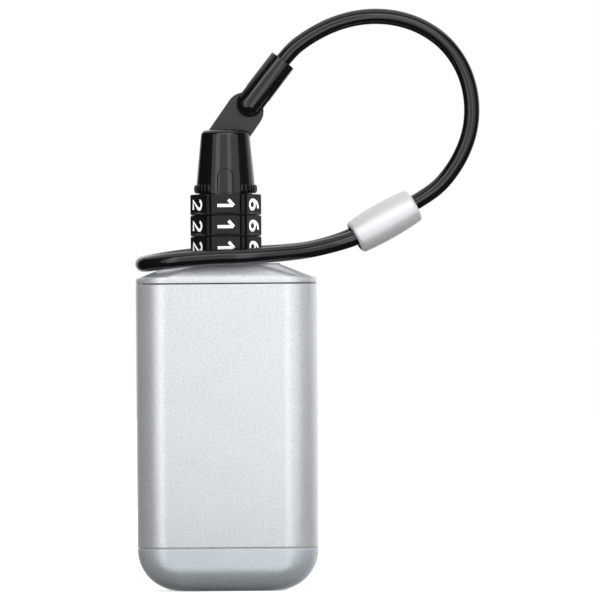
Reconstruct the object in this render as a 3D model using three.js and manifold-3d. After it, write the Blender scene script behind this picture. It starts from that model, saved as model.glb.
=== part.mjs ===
// A portable car safe: a flat metal case for a car key that hangs on a cable loop.
// Three dials on a post lock the plug that holds the cable. With the plug out, the lid and its key tray lift
// off. Millimetres, Z up, the front faces -Y, and the origin is the middle of the bottom face.
import * as THREE from "three";
import { mergeVertices } from "three/addons/utils/BufferGeometryUtils.js";
import Module from "manifold-3d";

// Case
const caseWidth = 60;
const caseDepth = 30;
const caseCorner = 11.5;
const caseWall = 2;
const edgeBreak = 0.35;
const seamGap = 0.3;

// Bottom cap
const capHeight = 14.2;
const capFootHalfWidth = 15.7;
const capFootHalfDepth = 6.8;
const capSideRound = 8.2;
const capWall = 3;
const capRimWall = 1.5;
const capRimOverlap = 3;
const capBossRadius = 3;
const capScrewInset = 12;

// Sleeve
const sleeveHeight = 87.1;
const sleeveFloor = 2;
const sleeveRecess = 2.5;

// Screws
const screwRadius = 1;
const screwHeadRadius = 1.95;
const screwHeadHeight = 1.4;
const screwDriveWidth = 0.5;
const screwDriveDepth = 0.7;
const screwBite = 6;

// Lid
const lidHeight = 6.6;
const lidRimHeight = 1.1;
const lidRoundHeight = 0.9;
const lidRoundInset = 1.4;
const lidTopHalfWidth = 18;
const lidTopHalfDepth = 12.3;
const lidTopCorner = 10.2;
const lidTopRound = 0.4;
const lidSpigotDepth = 7.5;
const lidSpigotWall = 1.6;
const lidBossRadius = 2.6;
const trayScrewInsetX = 10;
const trayScrewInsetY = 5.7;

// Seal in the lid's spigot
const sealHeight = 0.9;
const sealWidth = 0.7;
const sealDrop = 0.55;

// Key tray
const trayWall = 1.4;
const trayShelf = 2;
const trayWindowHalfWidth = 21;
const trayWindowCorner = 4;
const trayLip = 11;
const trayTopRail = 5;

// Lock core, the slotted post that the dials turn on
const coreRadius = 4.4;
const coreBore = 2.85;
const coreFlangeRadius = 9.5;
const coreFlangeHeight = 2;
const coreScrewSpacing = 14;
const coreScrewBite = 2.6;
const coreSlotWidth = 3.4;
const coreTail = 2.2;

// Dials and the code wheels in them
const dialRadius = 11.75;
const dialHeight = 6.8;
const dialPitch = 7;
const dialCount = 3;
const dialPositions = 6;
const dialBore = 7.5;
const dialLip = 0.8;
const dialLipBore = 6.2;
const dialChamfer = 0.45;
const dialGrooveDepth = 0.75;
const dialFaceHalfAngle = 23;
const dialRibHalfAngle = 3.2;
const dialGrooveSlopeAngle = 1.5;
const dialKeyWidth = 1.6;
const dialKeyDepth = 0.55;
const wheelGrooveRadius = 5.9;
const wheelFlangeHeight = 2.7;
const wheelNotchRadius = 5.15;
const wheelNotchWidth = 2.6;

// Rings that hold the stack of dials
const baseRingRadius = 11.5;
const baseRingHeight = 1.6;
const washerRadius = 7;
const washerHeight = 0.6;
const clipRadius = 6;
const clipHeight = 0.7;
const clipGrooveDepth = 0.45;

// Spindle with one tooth for each dial
const spindleRadius = 2.6;
const toothRadius = 5.5;
const toothWidth = 2.7;
const toothHeight = 2.2;
const spindleSeat = 6.6;
const crossPinRadius = 0.9;
const crossPinHeight = 3.4;

// Plug head
const plugGap = 0.4;
const plugBaseRadius = 9.7;
const plugTopRadius = 8.2;
const plugShoulderHeight = 19.2;
const plugHeight = 21.2;
const plugShoulderRound = 1.8;
const plugCrownDropShare = 0.25;
const plugRecessRadius = 7.4;
const plugRecessGap = 1;
const gripRadius = 10.55;
const gripHeight = 3;
const gripBow = 0.6;
const gripRibDepth = 0.6;
const gripRibPitchAngle = 9;
const gripRibShares = [0.15, 0.4, 0.55];
const gripPadHalfAngle = 33;
const archWidth = 5.4;
const archHeight = 8.2;
const archLine = 0.5;
const archDepth = 0.4;

// Link and the cable's end sleeve, which is riveted to it
const pivotHeight = 17.9;
const linkThickness = 2.5;
const linkRadius = 6.25;
const linkLength = 11.4;
const linkLean = 35;
const pivotPinRadius = 1.25;
const pivotPinDepth = 4.8;
const rivetReach = 14.3;
const rivetRadius = 1.3;
const terminalLean = 2.7;
const terminalRadius = 4.65;
const terminalEndRadius = 4.55;
const terminalLength = 18.2;
const terminalBoreDepth = 11;
const terminalForkDepth = 4.4;
const terminalFlare = 0.6;

// Cable and the ferrule that closes its eye round the post
const cableRadius = 2.6;
const ferruleLength = 22.7;
const ferruleHalfWidth = 6.35;
const ferruleEndHalfWidth = 5.8;
const ferruleHalfDepth = 7.3;
const ferruleEndHalfDepth = 6.9;
const ferruleEdge = 0.5;
const ferruleBoreSpacing = 6;
const ferruleRise = 27;
const ferruleYaw = 6;
const ferruleRoll = 8;
const ferrulePlace = [52.6, 0, 122.35];

// Latch spring on the tray, and the click spring along the post
const latchThickness = 0.6;
const latchWidth = 5;
const latchArmRise = 2.65;
const latchNoseRise = 1.7;
const latchNoseReach = 0.35;
const latchKneeInset = 1.7;
const latchRivetRadius = 0.8;
const latchRivetHeadRadius = 1.6;
const latchRivetHead = 0.6;
const clickThickness = 0.35;
const clickWidth = 2.2;
const clickBump = 0.72;
const clickBumpHalfHeight = 1;

// Clearances
const seatGap = 0.1;
const runGap = 0.2;
const looseGap = 0.3;
const slideGap = 0.4;
const cutOverrun = 1;

// Facets
const roundSides = 32;
const boreSides = 24;
const smallSides = 16;
const pinSides = 10;
const cornerSteps = 5;
const capRoundSteps = 7;
const lidDomeSteps = 8;
const gripSteps = 4;
const ferruleSteps = 6;
const cableSides = 8;
const cableSteps = 72;

// Heights in the case, from the ground
const sleeveBottom = capHeight + seamGap;
const sleeveTop = sleeveBottom + sleeveHeight;
const floorBottom = sleeveBottom + sleeveRecess;
const floorTop = floorBottom + sleeveFloor;
const lidBottom = sleeveTop + seamGap;
const trayBottom = floorTop + screwHeadHeight + slideGap;

// Heights on the lid, from its lower edge
const shelfTop = -lidSpigotDepth - seatGap;
const coreSeat = coreFlangeHeight + looseGap + looseGap;
const dialStackBottom = lidHeight + baseRingHeight + looseGap;
const dialStackTop = dialStackBottom + (dialCount - 1) * dialPitch + dialHeight;
const washerBottom = dialStackTop + runGap;
const clipBottom = washerBottom + washerHeight + runGap;
const coreTop = clipBottom + clipHeight + slideGap;
const plugBottom = dialStackTop + plugGap;
const plugRecess = coreTop + plugRecessGap - plugBottom;
const latchBase = shelfTop + seatGap + latchThickness / 2;
const spindleTip = latchBase + latchThickness / 2 + seatGap + latchRivetHead + looseGap;
const latchArm = latchBase + latchArmRise;
const latchNose = latchArm + latchNoseRise;

// Plan sizes that pieces share
const cavityHalfWidth = caseWidth / 2 - caseWall;
const cavityHalfDepth = caseDepth / 2 - caseWall;
const cavityCorner = caseCorner - caseWall;
const capScrewX = caseWidth / 2 - capScrewInset;
const trayScrewX = cavityHalfWidth - trayScrewInsetX;
const trayScrewY = cavityHalfDepth - trayScrewInsetY;
const wheelFlangeBore = coreRadius + runGap;
const wheelRadius = dialBore - runGap;
const wheelHeight = dialHeight - dialLip - seatGap;
const wheelBottom = dialLip + seatGap;

const wasm = await Module();
wasm.setup();

// A closed geometry as a solid that can be joined and cut.
function solid(geometry) {
  geometry.deleteAttribute("normal");
  geometry.deleteAttribute("uv");
  const merged = mergeVertices(geometry);
  const vertProperties = merged.attributes.position.array;
  const triVerts = new Uint32Array(merged.index.array);
  return new wasm.Manifold(new wasm.Mesh({ numProp: 3, vertProperties, triVerts }));
}

// A finished solid as a named mesh.
function piece(name, body, material) {
  const made = body.getMesh();
  const geometry = new THREE.BufferGeometry();
  geometry.setAttribute("position", new THREE.BufferAttribute(made.vertProperties, 3));
  geometry.setIndex(new THREE.BufferAttribute(made.triVerts, 1));
  geometry.computeVertexNormals();
  const mesh = new THREE.Mesh(geometry, material);
  mesh.name = name;
  return mesh;
}

// The closed surface through rounded rectangles at rising heights, each [half width, half depth, corner,
// height].
function lofted(sections) {
  const ring = 4 * (cornerSteps + 1);
  const positions = [];
  for (const [halfWidth, halfDepth, corner, height] of sections) {
    for (let quarter = 0; quarter < 4; quarter++) {
      const sideX = quarter === 0 || quarter === 3 ? 1 : -1;
      const sideY = quarter < 2 ? 1 : -1;
      for (let step = 0; step <= cornerSteps; step++) {
        const angle = ((quarter + step / cornerSteps) * Math.PI) / 2;
        positions.push(sideX * (halfWidth - corner) + corner * Math.cos(angle));
        positions.push(sideY * (halfDepth - corner) + corner * Math.sin(angle));
        positions.push(height);
      }
    }
  }
  const index = [];
  for (let level = 0; level < sections.length - 1; level++) {
    for (let i = 0; i < ring; i++) {
      const a = level * ring + i;
      const b = level * ring + ((i + 1) % ring);
      index.push(a, b, b + ring, a, b + ring, a + ring);
    }
  }
  const top = (sections.length - 1) * ring;
  for (let i = 1; i < ring - 1; i++) {
    index.push(0, i + 1, i, top, top + i, top + i + 1);
  }
  const geometry = new THREE.BufferGeometry();
  geometry.setAttribute("position", new THREE.Float32BufferAttribute(positions, 3));
  geometry.setIndex(index);
  return geometry;
}

// An upright block with rounded corners in plan.
function roundedBlock(halfWidth, halfDepth, corner, bottom, top) {
  return solid(lofted([[halfWidth, halfDepth, corner, bottom], [halfWidth, halfDepth, corner, top]]));
}

// A plain block, centred on x and y.
function block(width, depth, bottom, top, x = 0, y = 0) {
  const geometry = new THREE.BoxGeometry(width, depth, top - bottom);
  return solid(geometry.translate(x, y, (bottom + top) / 2));
}

// An upright round bar, centred on x and y.
function bar(radius, bottom, top, sides, x = 0, y = 0) {
  const geometry = new THREE.CylinderGeometry(radius, radius, top - bottom, sides);
  return solid(geometry.rotateX(Math.PI / 2).translate(x, y, (bottom + top) / 2));
}

// A round bar that lies front to back, centred on x and z.
function crossBar(radius, front, back, sides, x, z) {
  const geometry = new THREE.CylinderGeometry(radius, radius, back - front, sides);
  return solid(geometry.translate(x, (front + back) / 2, z));
}

// A turned piece from its profile of [radius, height], which runs from the foot of the axis outside and up.
function turned(profile, sides) {
  const points = profile.map(([radius, height]) => new THREE.Vector2(radius, height));
  return solid(new THREE.LatheGeometry(points, sides).rotateX(Math.PI / 2));
}

// An upright bar of any outline.
function extruded(shape, bottom, top, curveSegments = smallSides) {
  const depth = top - bottom;
  const geometry = new THREE.ExtrudeGeometry(shape, { depth, bevelEnabled: false, curveSegments });
  return solid(geometry.translate(0, 0, bottom));
}

// A plate that stands in the front plane, with its outline's second axis up, centred on y.
function upright(shape, depth, y = 0, curveSegments = smallSides) {
  const geometry = new THREE.ExtrudeGeometry(shape, { depth, bevelEnabled: false, curveSegments });
  return solid(geometry.rotateX(Math.PI / 2).translate(0, y + depth / 2, 0));
}

// The outline of a bent strip round its middle line.
function stripShape(line, thickness) {
  const points = line.map(([x, y]) => new THREE.Vector2(x, y));
  const normalAt = (from, to) => {
    const along = to.clone().sub(from).normalize();
    return new THREE.Vector2(-along.y, along.x);
  };
  const offsets = points.map((point, i) => {
    const before = i > 0 ? normalAt(points[i - 1], point) : normalAt(point, points[i + 1]);
    const after = i < points.length - 1 ? normalAt(point, points[i + 1]) : before;
    const mitre = before.clone().add(after);
    return mitre.multiplyScalar(thickness / mitre.lengthSq());
  });
  const left = points.map((point, i) => point.clone().add(offsets[i]));
  const right = points.map((point, i) => point.clone().sub(offsets[i]));
  return new THREE.Shape([...right, ...left.reverse()]);
}

const radians = THREE.MathUtils.degToRad;

const silverPaint = new THREE.MeshStandardMaterial({ color: 0xb9bdc2, roughness: 0.38, metalness: 0.75 });
const blackGloss = new THREE.MeshStandardMaterial({ color: 0x0b0b0c, roughness: 0.12, metalness: 0.0 });
const blackSatin = new THREE.MeshStandardMaterial({ color: 0x2b2b2e, roughness: 0.45, metalness: 0.2 });
const blackDial = new THREE.MeshStandardMaterial({ color: 0x111112, roughness: 0.35, metalness: 0.0 });
const blackVinyl = new THREE.MeshStandardMaterial({ color: 0x080808, roughness: 0.18, metalness: 0.0 });
const blackPlastic = new THREE.MeshStandardMaterial({ color: 0x1c1c1e, roughness: 0.6, metalness: 0.0 });
const blackRubber = new THREE.MeshStandardMaterial({ color: 0x161616, roughness: 0.8, metalness: 0.0 });
const satinAlloy = new THREE.MeshStandardMaterial({ color: 0xd2d4d6, roughness: 0.35, metalness: 0.9 });
const zincCast = new THREE.MeshStandardMaterial({ color: 0x9fa1a4, roughness: 0.5, metalness: 0.85 });
const brass = new THREE.MeshStandardMaterial({ color: 0xc2a35a, roughness: 0.35, metalness: 0.95 });
const steel = new THREE.MeshStandardMaterial({ color: 0xb4b6b8, roughness: 0.3, metalness: 1.0 });
const springSteel = new THREE.MeshStandardMaterial({ color: 0x8a8c90, roughness: 0.28, metalness: 1.0 });

// Pan-head screw with its head's seat at height 0 and its shank below.
function panScrew(name, grip) {
  const rim = screwHeadRadius - edgeBreak;
  const tip = screwRadius - edgeBreak;
  const body = turned(
    [
      [0, -grip],
      [tip, -grip],
      [screwRadius, edgeBreak - grip],
      [screwRadius, 0],
      [screwHeadRadius, 0],
      [screwHeadRadius, screwHeadHeight - 2 * edgeBreak],
      [rim, screwHeadHeight],
      [0, screwHeadHeight],
    ],
    pinSides,
  );
  const drive = screwHeadHeight - screwDriveDepth;
  const slot = block(2 * rim, screwDriveWidth, drive, screwHeadHeight + cutOverrun);
  const otherSlot = block(screwDriveWidth, 2 * rim, drive, screwHeadHeight + cutOverrun);
  return piece(name, body.subtract(slot).subtract(otherSlot), steel);
}

// Rounded outline of the bottom cap at a height, taken in by a wall.
function capSection(share, inset) {
  const turn = (share * Math.PI) / 2;
  const height = inset + (capHeight - inset) * (1 - Math.cos(turn));
  const sideways = (caseWidth / 2 - capFootHalfWidth) * Math.sin(turn);
  const rise = Math.min((height - inset) / (capSideRound - inset), 1);
  const forward = (caseDepth / 2 - capFootHalfDepth) * Math.sqrt(1 - (1 - rise) ** 2);
  const halfDepth = capFootHalfDepth + forward - inset;
  const corner = (caseCorner * halfDepth) / (caseDepth / 2);
  return [capFootHalfWidth + sideways - inset, halfDepth, corner, height];
}

function capBody(inset) {
  const sections = [];
  for (let step = 0; step <= capRoundSteps; step++) {
    sections.push(capSection(step / capRoundSteps, inset));
  }
  return lofted(sections);
}

// Bottom cap: a hollow casting with a rim that locates it in the sleeve and two screw bosses.
function bottomCap() {
  const rimTop = capHeight + sleeveRecess - looseGap;
  const rimHalfWidth = cavityHalfWidth - looseGap;
  const rimHalfDepth = cavityHalfDepth - looseGap;
  const rimCorner = cavityCorner - looseGap;
  const hollow = solid(capBody(capWall));
  const rim = roundedBlock(rimHalfWidth, rimHalfDepth, rimCorner, capHeight - capRimOverlap, rimTop);
  const rimInside = roundedBlock(
    rimHalfWidth - capRimWall,
    rimHalfDepth - capRimWall,
    rimCorner - capRimWall,
    capHeight - capRimOverlap - cutOverrun,
    rimTop + cutOverrun,
  );
  let body = solid(capBody(0)).subtract(hollow).add(rim).subtract(rimInside);
  for (const x of [-capScrewX, capScrewX]) {
    const boss = bar(capBossRadius, capWall / 2, rimTop, smallSides, x).intersect(solid(capBody(0)).add(rim));
    const pilotBottom = rimTop - screwBite - cutOverrun;
    const pilot = bar(screwRadius + runGap, pilotBottom, rimTop + cutOverrun, pinSides, x);
    body = body.add(boss).subtract(pilot);
  }
  return piece("bottom_cap", body, silverPaint);
}

// Sleeve: the tube of the case, with a floor for the cap's screws and a pocket in each side for the latch.
function shellSleeve() {
  const outer = [caseWidth / 2, caseDepth / 2, caseCorner];
  const broken = outer.map((size) => size - edgeBreak);
  let body = solid(
    lofted([
      [...broken, sleeveBottom],
      [...outer, sleeveBottom + edgeBreak],
      [...outer, sleeveTop - edgeBreak],
      [...broken, sleeveTop],
    ]),
  );
  const cavity = [cavityHalfWidth, cavityHalfDepth, cavityCorner];
  body = body.subtract(roundedBlock(...cavity, floorTop, sleeveTop + cutOverrun));
  body = body.subtract(roundedBlock(...cavity, sleeveBottom - cutOverrun, floorBottom));
  const pocketBottom = lidBottom + latchArm - looseGap;
  const pocketTop = lidBottom + latchNose + latchThickness;
  for (const side of [-1, 1]) {
    const hole = screwRadius + runGap;
    body = body.subtract(
      bar(hole, floorBottom - cutOverrun, floorTop + cutOverrun, pinSides, side * capScrewX),
    );
    body = body.subtract(
      block(caseWall, latchWidth + 2 * looseGap, pocketBottom, pocketTop, side * cavityHalfWidth),
    );
  }
  return piece("shell_sleeve", body, silverPaint);
}

// Rounded outline of the lid at a rise above its rim. The ends slope in straight, and the front and back are
// domed.
function lidSection(rise) {
  const domeHeight = lidHeight - lidTopRound - lidRimHeight;
  const roundShare = Math.min(rise / lidRoundHeight, 1);
  const inset = lidRoundInset * (1 - Math.sqrt(1 - roundShare ** 2));
  const slopeShare = Math.max((rise - lidRoundHeight) / (domeHeight - lidRoundHeight), 0);
  const halfWidth = caseWidth / 2 - inset;
  const corner = caseCorner - inset;
  const domeShare = 1 - (rise / domeHeight) ** 2;
  return [
    halfWidth + (lidTopHalfWidth - halfWidth) * slopeShare,
    lidTopHalfDepth + (caseDepth / 2 - lidTopHalfDepth) * domeShare,
    corner + (lidTopCorner - corner) * slopeShare,
    lidRimHeight + rise,
  ];
}

// Lid: a casting that slopes up to the dials, with a spigot that fits the sleeve and bosses for the tray.
function lid() {
  const outer = [caseWidth / 2, caseDepth / 2, caseCorner];
  const broken = outer.map((size) => size - edgeBreak);
  const top = [lidTopHalfWidth, lidTopHalfDepth, lidTopCorner];
  const sections = [
    [...broken, 0],
    [...outer, edgeBreak],
    lidSection(0),
    lidSection(lidRoundHeight * Math.SQRT1_2),
    lidSection(lidRoundHeight),
  ];
  for (let step = 2; step <= lidDomeSteps; step++) {
    const turn = ((step / lidDomeSteps) * Math.PI) / 2;
    sections.push(lidSection((lidHeight - lidTopRound - lidRimHeight) * Math.sin(turn)));
  }
  sections.push([...top.map((size) => size - lidTopRound), lidHeight]);
  let body = solid(lofted(sections));
  const spigot = [cavityHalfWidth - runGap, cavityHalfDepth - runGap, cavityCorner - runGap];
  const inside = spigot.map((size) => size - lidSpigotWall);
  const grooveSize = spigot.map((size) => size - sealWidth);
  body = body.add(roundedBlock(...spigot, -lidSpigotDepth, edgeBreak));
  body = body.subtract(roundedBlock(...inside, -lidSpigotDepth - cutOverrun, 0));
  const grooveTop = -sealDrop + seatGap;
  const grooveBottom = -sealDrop - sealHeight - seatGap;
  const groove = roundedBlock(...outer, grooveBottom, grooveTop);
  body = body.subtract(groove.subtract(roundedBlock(...grooveSize, grooveBottom, grooveTop)));
  body = body.subtract(bar(coreFlangeRadius + looseGap, -cutOverrun, coreSeat, roundSides));
  body = body.subtract(bar(coreRadius + runGap, 0, lidHeight + cutOverrun, roundSides));
  for (const side of [-1, 1]) {
    const coreX = (side * coreScrewSpacing) / 2;
    body = body.subtract(bar(screwRadius + runGap, 0, coreSeat + coreScrewBite, pinSides, coreX));
    const notchTop = latchNose + latchThickness;
    const notch = block(
      2 * (lidSpigotWall + runGap + looseGap),
      latchWidth + 2 * looseGap,
      -lidSpigotDepth - cutOverrun,
      notchTop,
      side * cavityHalfWidth,
    );
    body = body.subtract(notch);
    const x = side * trayScrewX;
    const y = side * trayScrewY;
    body = body.add(bar(lidBossRadius, -lidSpigotDepth, edgeBreak, smallSides, x, y));
    body = body.subtract(bar(screwRadius + runGap, -lidSpigotDepth - cutOverrun, 0, pinSides, x, y));
  }
  return piece("lid", body, silverPaint);
}

// Seal: a rubber ring in the spigot's groove.
function lidSeal() {
  const outside = [cavityHalfWidth - seatGap, cavityHalfDepth - seatGap, cavityCorner - seatGap];
  const insideInset = runGap + sealWidth - seatGap;
  const inside = [cavityHalfWidth - insideInset, cavityHalfDepth - insideInset, cavityCorner - insideInset];
  const bottom = -sealDrop - sealHeight;
  const ring = roundedBlock(...outside, bottom, -sealDrop);
  const hole = roundedBlock(...inside, bottom - cutOverrun, -sealDrop + cutOverrun);
  return piece("lid_seal", ring.subtract(hole), blackRubber);
}

// Key tray: a moulded tub that hangs from the lid, open at the front above a low lip.
function keyTray() {
  const height = lidBottom + shelfTop - trayBottom;
  const outside = [cavityHalfWidth - slideGap, cavityHalfDepth - slideGap, cavityCorner - slideGap];
  const inside = outside.map((size) => size - trayWall);
  let body = roundedBlock(...outside, 0, height);
  body = body.subtract(roundedBlock(...inside, trayWall, height - trayShelf));
  const windowTop = height - trayShelf - trayTopRail;
  const window = new THREE.Shape();
  const r = trayWindowCorner;
  const w = trayWindowHalfWidth;
  window.moveTo(-w + r, trayLip);
  window.lineTo(w - r, trayLip);
  window.absarc(w - r, trayLip + r, r, -Math.PI / 2, 0, false);
  window.lineTo(w, windowTop - r);
  window.absarc(w - r, windowTop - r, r, 0, Math.PI / 2, false);
  window.lineTo(-w + r, windowTop);
  window.absarc(-w + r, windowTop - r, r, Math.PI / 2, Math.PI, false);
  window.lineTo(-w, trayLip + r);
  window.absarc(-w + r, trayLip + r, r, Math.PI, Math.PI * 1.5, false);
  body = body.subtract(upright(window, cavityHalfDepth, -cavityHalfDepth, cornerSteps));
  for (const side of [-1, 1]) {
    const x = side * trayScrewX;
    const y = side * trayScrewY;
    body = body.subtract(
      bar(screwRadius + runGap, height - trayShelf - cutOverrun, height + cutOverrun, pinSides, x, y),
    );
  }
  body = body.subtract(
    bar(latchRivetRadius + runGap, height - trayShelf - cutOverrun, height + cutOverrun, pinSides),
  );
  const mesh = piece("key_tray", body, blackPlastic);
  mesh.position.z = trayBottom - lidBottom;
  return mesh;
}

// Latch spring: a bent strip whose ends catch in the sleeve's pockets. The spindle's tip between its legs
// keeps them apart.
function latchSpring() {
  const leg = spindleRadius + runGap + latchThickness / 2;
  const knee = cavityHalfWidth - latchKneeInset;
  const nose = cavityHalfWidth + latchNoseReach;
  const right = [
    [leg, latchBase],
    [leg, latchArm],
    [knee, latchArm],
    [nose, latchNose],
  ];
  const left = right.map(([x, z]) => [-x, z]).reverse();
  const strip = upright(stripShape([...left, ...right], latchThickness), latchWidth);
  const holeBottom = latchBase - latchThickness;
  const hole = bar(latchRivetRadius + runGap, holeBottom, latchBase + latchThickness, pinSides);
  return piece("latch_spring", strip.subtract(hole), springSteel);
}

function latchRivet() {
  const stripTop = latchBase + latchThickness / 2 + seatGap;
  const shelfBottom = shelfTop - trayShelf - seatGap;
  const body = turned(
    [
      [0, shelfBottom - latchRivetHead],
      [latchRivetHeadRadius - edgeBreak, shelfBottom - latchRivetHead],
      [latchRivetHeadRadius, shelfBottom],
      [latchRivetRadius, shelfBottom],
      [latchRivetRadius, stripTop],
      [latchRivetHeadRadius, stripTop],
      [latchRivetHeadRadius - edgeBreak, stripTop + latchRivetHead],
      [0, stripTop + latchRivetHead],
    ],
    pinSides,
  );
  return piece("latch_rivet", body, steel);
}

// Lock core: a flanged post with a slot along its front for the spindle's teeth and a channel at its back for
// the click spring.
function lockCore() {
  const flangeTop = coreSeat - seatGap;
  const flangeBottom = flangeTop - coreFlangeHeight;
  let body = turned(
    [
      [0, flangeBottom - coreTail],
      [coreRadius, flangeBottom - coreTail],
      [coreRadius, flangeBottom],
      [coreFlangeRadius, flangeBottom],
      [coreFlangeRadius, flangeTop],
      [coreRadius, flangeTop],
      [coreRadius, clipBottom - seatGap],
      [coreRadius - clipGrooveDepth, clipBottom - seatGap],
      [coreRadius - clipGrooveDepth, clipBottom + clipHeight + seatGap],
      [coreRadius, clipBottom + clipHeight + seatGap],
      [coreRadius, coreTop - edgeBreak],
      [coreRadius - edgeBreak, coreTop],
      [0, coreTop],
    ],
    roundSides,
  );
  body = body.subtract(bar(coreBore, flangeBottom - coreTail - cutOverrun, coreTop + cutOverrun, smallSides));
  const slotBottom = lidHeight + baseRingHeight;
  const slotMiddle = -coreRadius / 2 - cutOverrun / 2;
  body = body.subtract(
    block(coreSlotWidth, coreRadius + cutOverrun, slotBottom, coreTop + cutOverrun, 0, slotMiddle),
  );
  const channelFloor = coreRadius - runGap - clickThickness - seatGap;
  const channelDepth = coreRadius + cutOverrun - channelFloor;
  const channelMiddle = channelFloor + channelDepth / 2;
  const channelWidth = clickWidth + 2 * runGap;
  body = body.subtract(
    block(channelWidth, channelDepth, flangeTop + looseGap, coreTop + cutOverrun, 0, channelMiddle),
  );
  for (const side of [-1, 1]) {
    const x = (side * coreScrewSpacing) / 2;
    const hole = bar(screwRadius + runGap, flangeBottom - cutOverrun, flangeTop + cutOverrun, pinSides, x);
    body = body.subtract(hole);
  }
  return piece("lock_core", body, zincCast);
}

// Click spring: a strip with one bump for each code wheel.
function clickSpring() {
  const middle = coreRadius - runGap - clickThickness / 2;
  const line = [[middle, coreSeat + slideGap]];
  for (let level = 0; level < dialCount; level++) {
    const bump = dialStackBottom + level * dialPitch + dialHeight - wheelFlangeHeight / 2;
    line.push([middle, bump - clickBumpHalfHeight]);
    line.push([middle + clickBump, bump]);
    line.push([middle, bump + clickBumpHalfHeight]);
  }
  line.push([middle, dialStackTop]);
  const shape = stripShape(line, clickThickness);
  const geometry = new THREE.ExtrudeGeometry(shape, { depth: clickWidth, bevelEnabled: false });
  geometry.rotateX(Math.PI / 2).rotateZ(Math.PI / 2).translate(-clickWidth / 2, 0, 0);
  return piece("click_spring", solid(geometry), springSteel);
}

// Base ring: the plain black ring that dial 3 runs on.
function baseRing() {
  const top = lidHeight + baseRingHeight;
  const body = turned(
    [
      [0, lidHeight],
      [baseRingRadius, lidHeight],
      [baseRingRadius, top - edgeBreak],
      [baseRingRadius - edgeBreak, top],
      [0, top],
    ],
    roundSides,
  );
  const hole = bar(coreRadius + runGap, lidHeight - cutOverrun, top + cutOverrun, roundSides);
  return piece("base_ring", body.subtract(hole), blackPlastic);
}

// Stack washer, with a notch that lets the spindle's teeth through.
function stackWasher() {
  const bottom = washerBottom - cutOverrun;
  const top = washerBottom + washerHeight + cutOverrun;
  let body = bar(washerRadius, washerBottom, washerBottom + washerHeight, boreSides);
  body = body.subtract(bar(coreRadius + runGap, bottom, top, boreSides));
  body = body.subtract(toothWay(bottom, top));
  return piece("stack_washer", body, steel);
}

// The way that the teeth need through a wheel or washer.
function toothWay(bottom, top) {
  const way = block(coreSlotWidth, 2 * toothRadius, bottom, top, 0, -toothRadius);
  return way.intersect(bar(toothRadius + runGap, bottom, top, boreSides));
}

// Retaining ring in the post's top groove, open at the front.
function retainingRing() {
  const bottom = clipBottom - cutOverrun;
  const top = clipBottom + clipHeight + cutOverrun;
  let body = bar(clipRadius, clipBottom, clipBottom + clipHeight, boreSides);
  body = body.subtract(bar(coreRadius - clipGrooveDepth + seatGap, bottom, top, boreSides));
  const opening = coreSlotWidth + 2 * runGap;
  body = body.subtract(block(opening, clipRadius + cutOverrun, bottom, top, 0, -clipRadius / 2));
  return piece("retaining_ring", body, springSteel);
}

// Dial ring: a turned ring with six flat number faces and a fine rib between each two.
function dialRing(name) {
  const onCircle = (degrees, radius) => {
    const angle = radians(degrees - 90);
    return new THREE.Vector2(radius * Math.cos(angle), radius * Math.sin(angle));
  };
  const pitchAngle = 360 / dialPositions;
  const grooveRadius = dialRadius - dialGrooveDepth;
  const points = [];
  for (let place = 0; place < dialPositions; place++) {
    const middle = place * pitchAngle;
    const rib = middle + pitchAngle / 2;
    points.push(onCircle(middle - dialFaceHalfAngle, dialRadius));
    points.push(onCircle(middle + dialFaceHalfAngle, dialRadius));
    points.push(onCircle(middle + dialFaceHalfAngle + dialGrooveSlopeAngle, grooveRadius));
    points.push(onCircle(rib - dialRibHalfAngle - dialGrooveSlopeAngle, grooveRadius));
    points.push(onCircle(rib - dialRibHalfAngle, dialRadius));
    points.push(onCircle(rib + dialRibHalfAngle, dialRadius));
    points.push(onCircle(rib + dialRibHalfAngle + dialGrooveSlopeAngle, grooveRadius));
    points.push(onCircle(middle + pitchAngle - dialFaceHalfAngle - dialGrooveSlopeAngle, grooveRadius));
  }
  const blank = turned(
    [
      [0, 0],
      [dialRadius - dialChamfer, 0],
      [dialRadius, dialChamfer],
      [dialRadius, dialHeight - dialChamfer],
      [dialRadius - dialChamfer, dialHeight],
      [0, dialHeight],
    ],
    roundSides,
  );
  let body = blank.intersect(extruded(new THREE.Shape(points), 0, dialHeight));
  body = body.subtract(bar(dialLipBore, -cutOverrun, dialHeight, boreSides));
  body = body.subtract(bar(dialBore, dialLip, dialHeight + cutOverrun, boreSides));
  body = body.subtract(keys(dialBore + dialKeyDepth + runGap, dialKeyWidth + 2 * runGap, dialLip));
  return piece(name, body, blackDial);
}

// Crossing bars that make the keys of a code wheel, or the keyways of a dial ring.
function keys(radius, width, bottom) {
  const top = dialHeight + cutOverrun;
  let all = null;
  for (let place = 0; place < dialPositions / 2; place++) {
    const across = new THREE.BoxGeometry(2 * radius, width, top - bottom);
    const turn = (place * 2 * Math.PI) / dialPositions;
    const one = solid(across.translate(0, 0, (top + bottom) / 2).rotateZ(turn));
    all = all ? all.add(one) : one;
  }
  return all;
}

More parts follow.
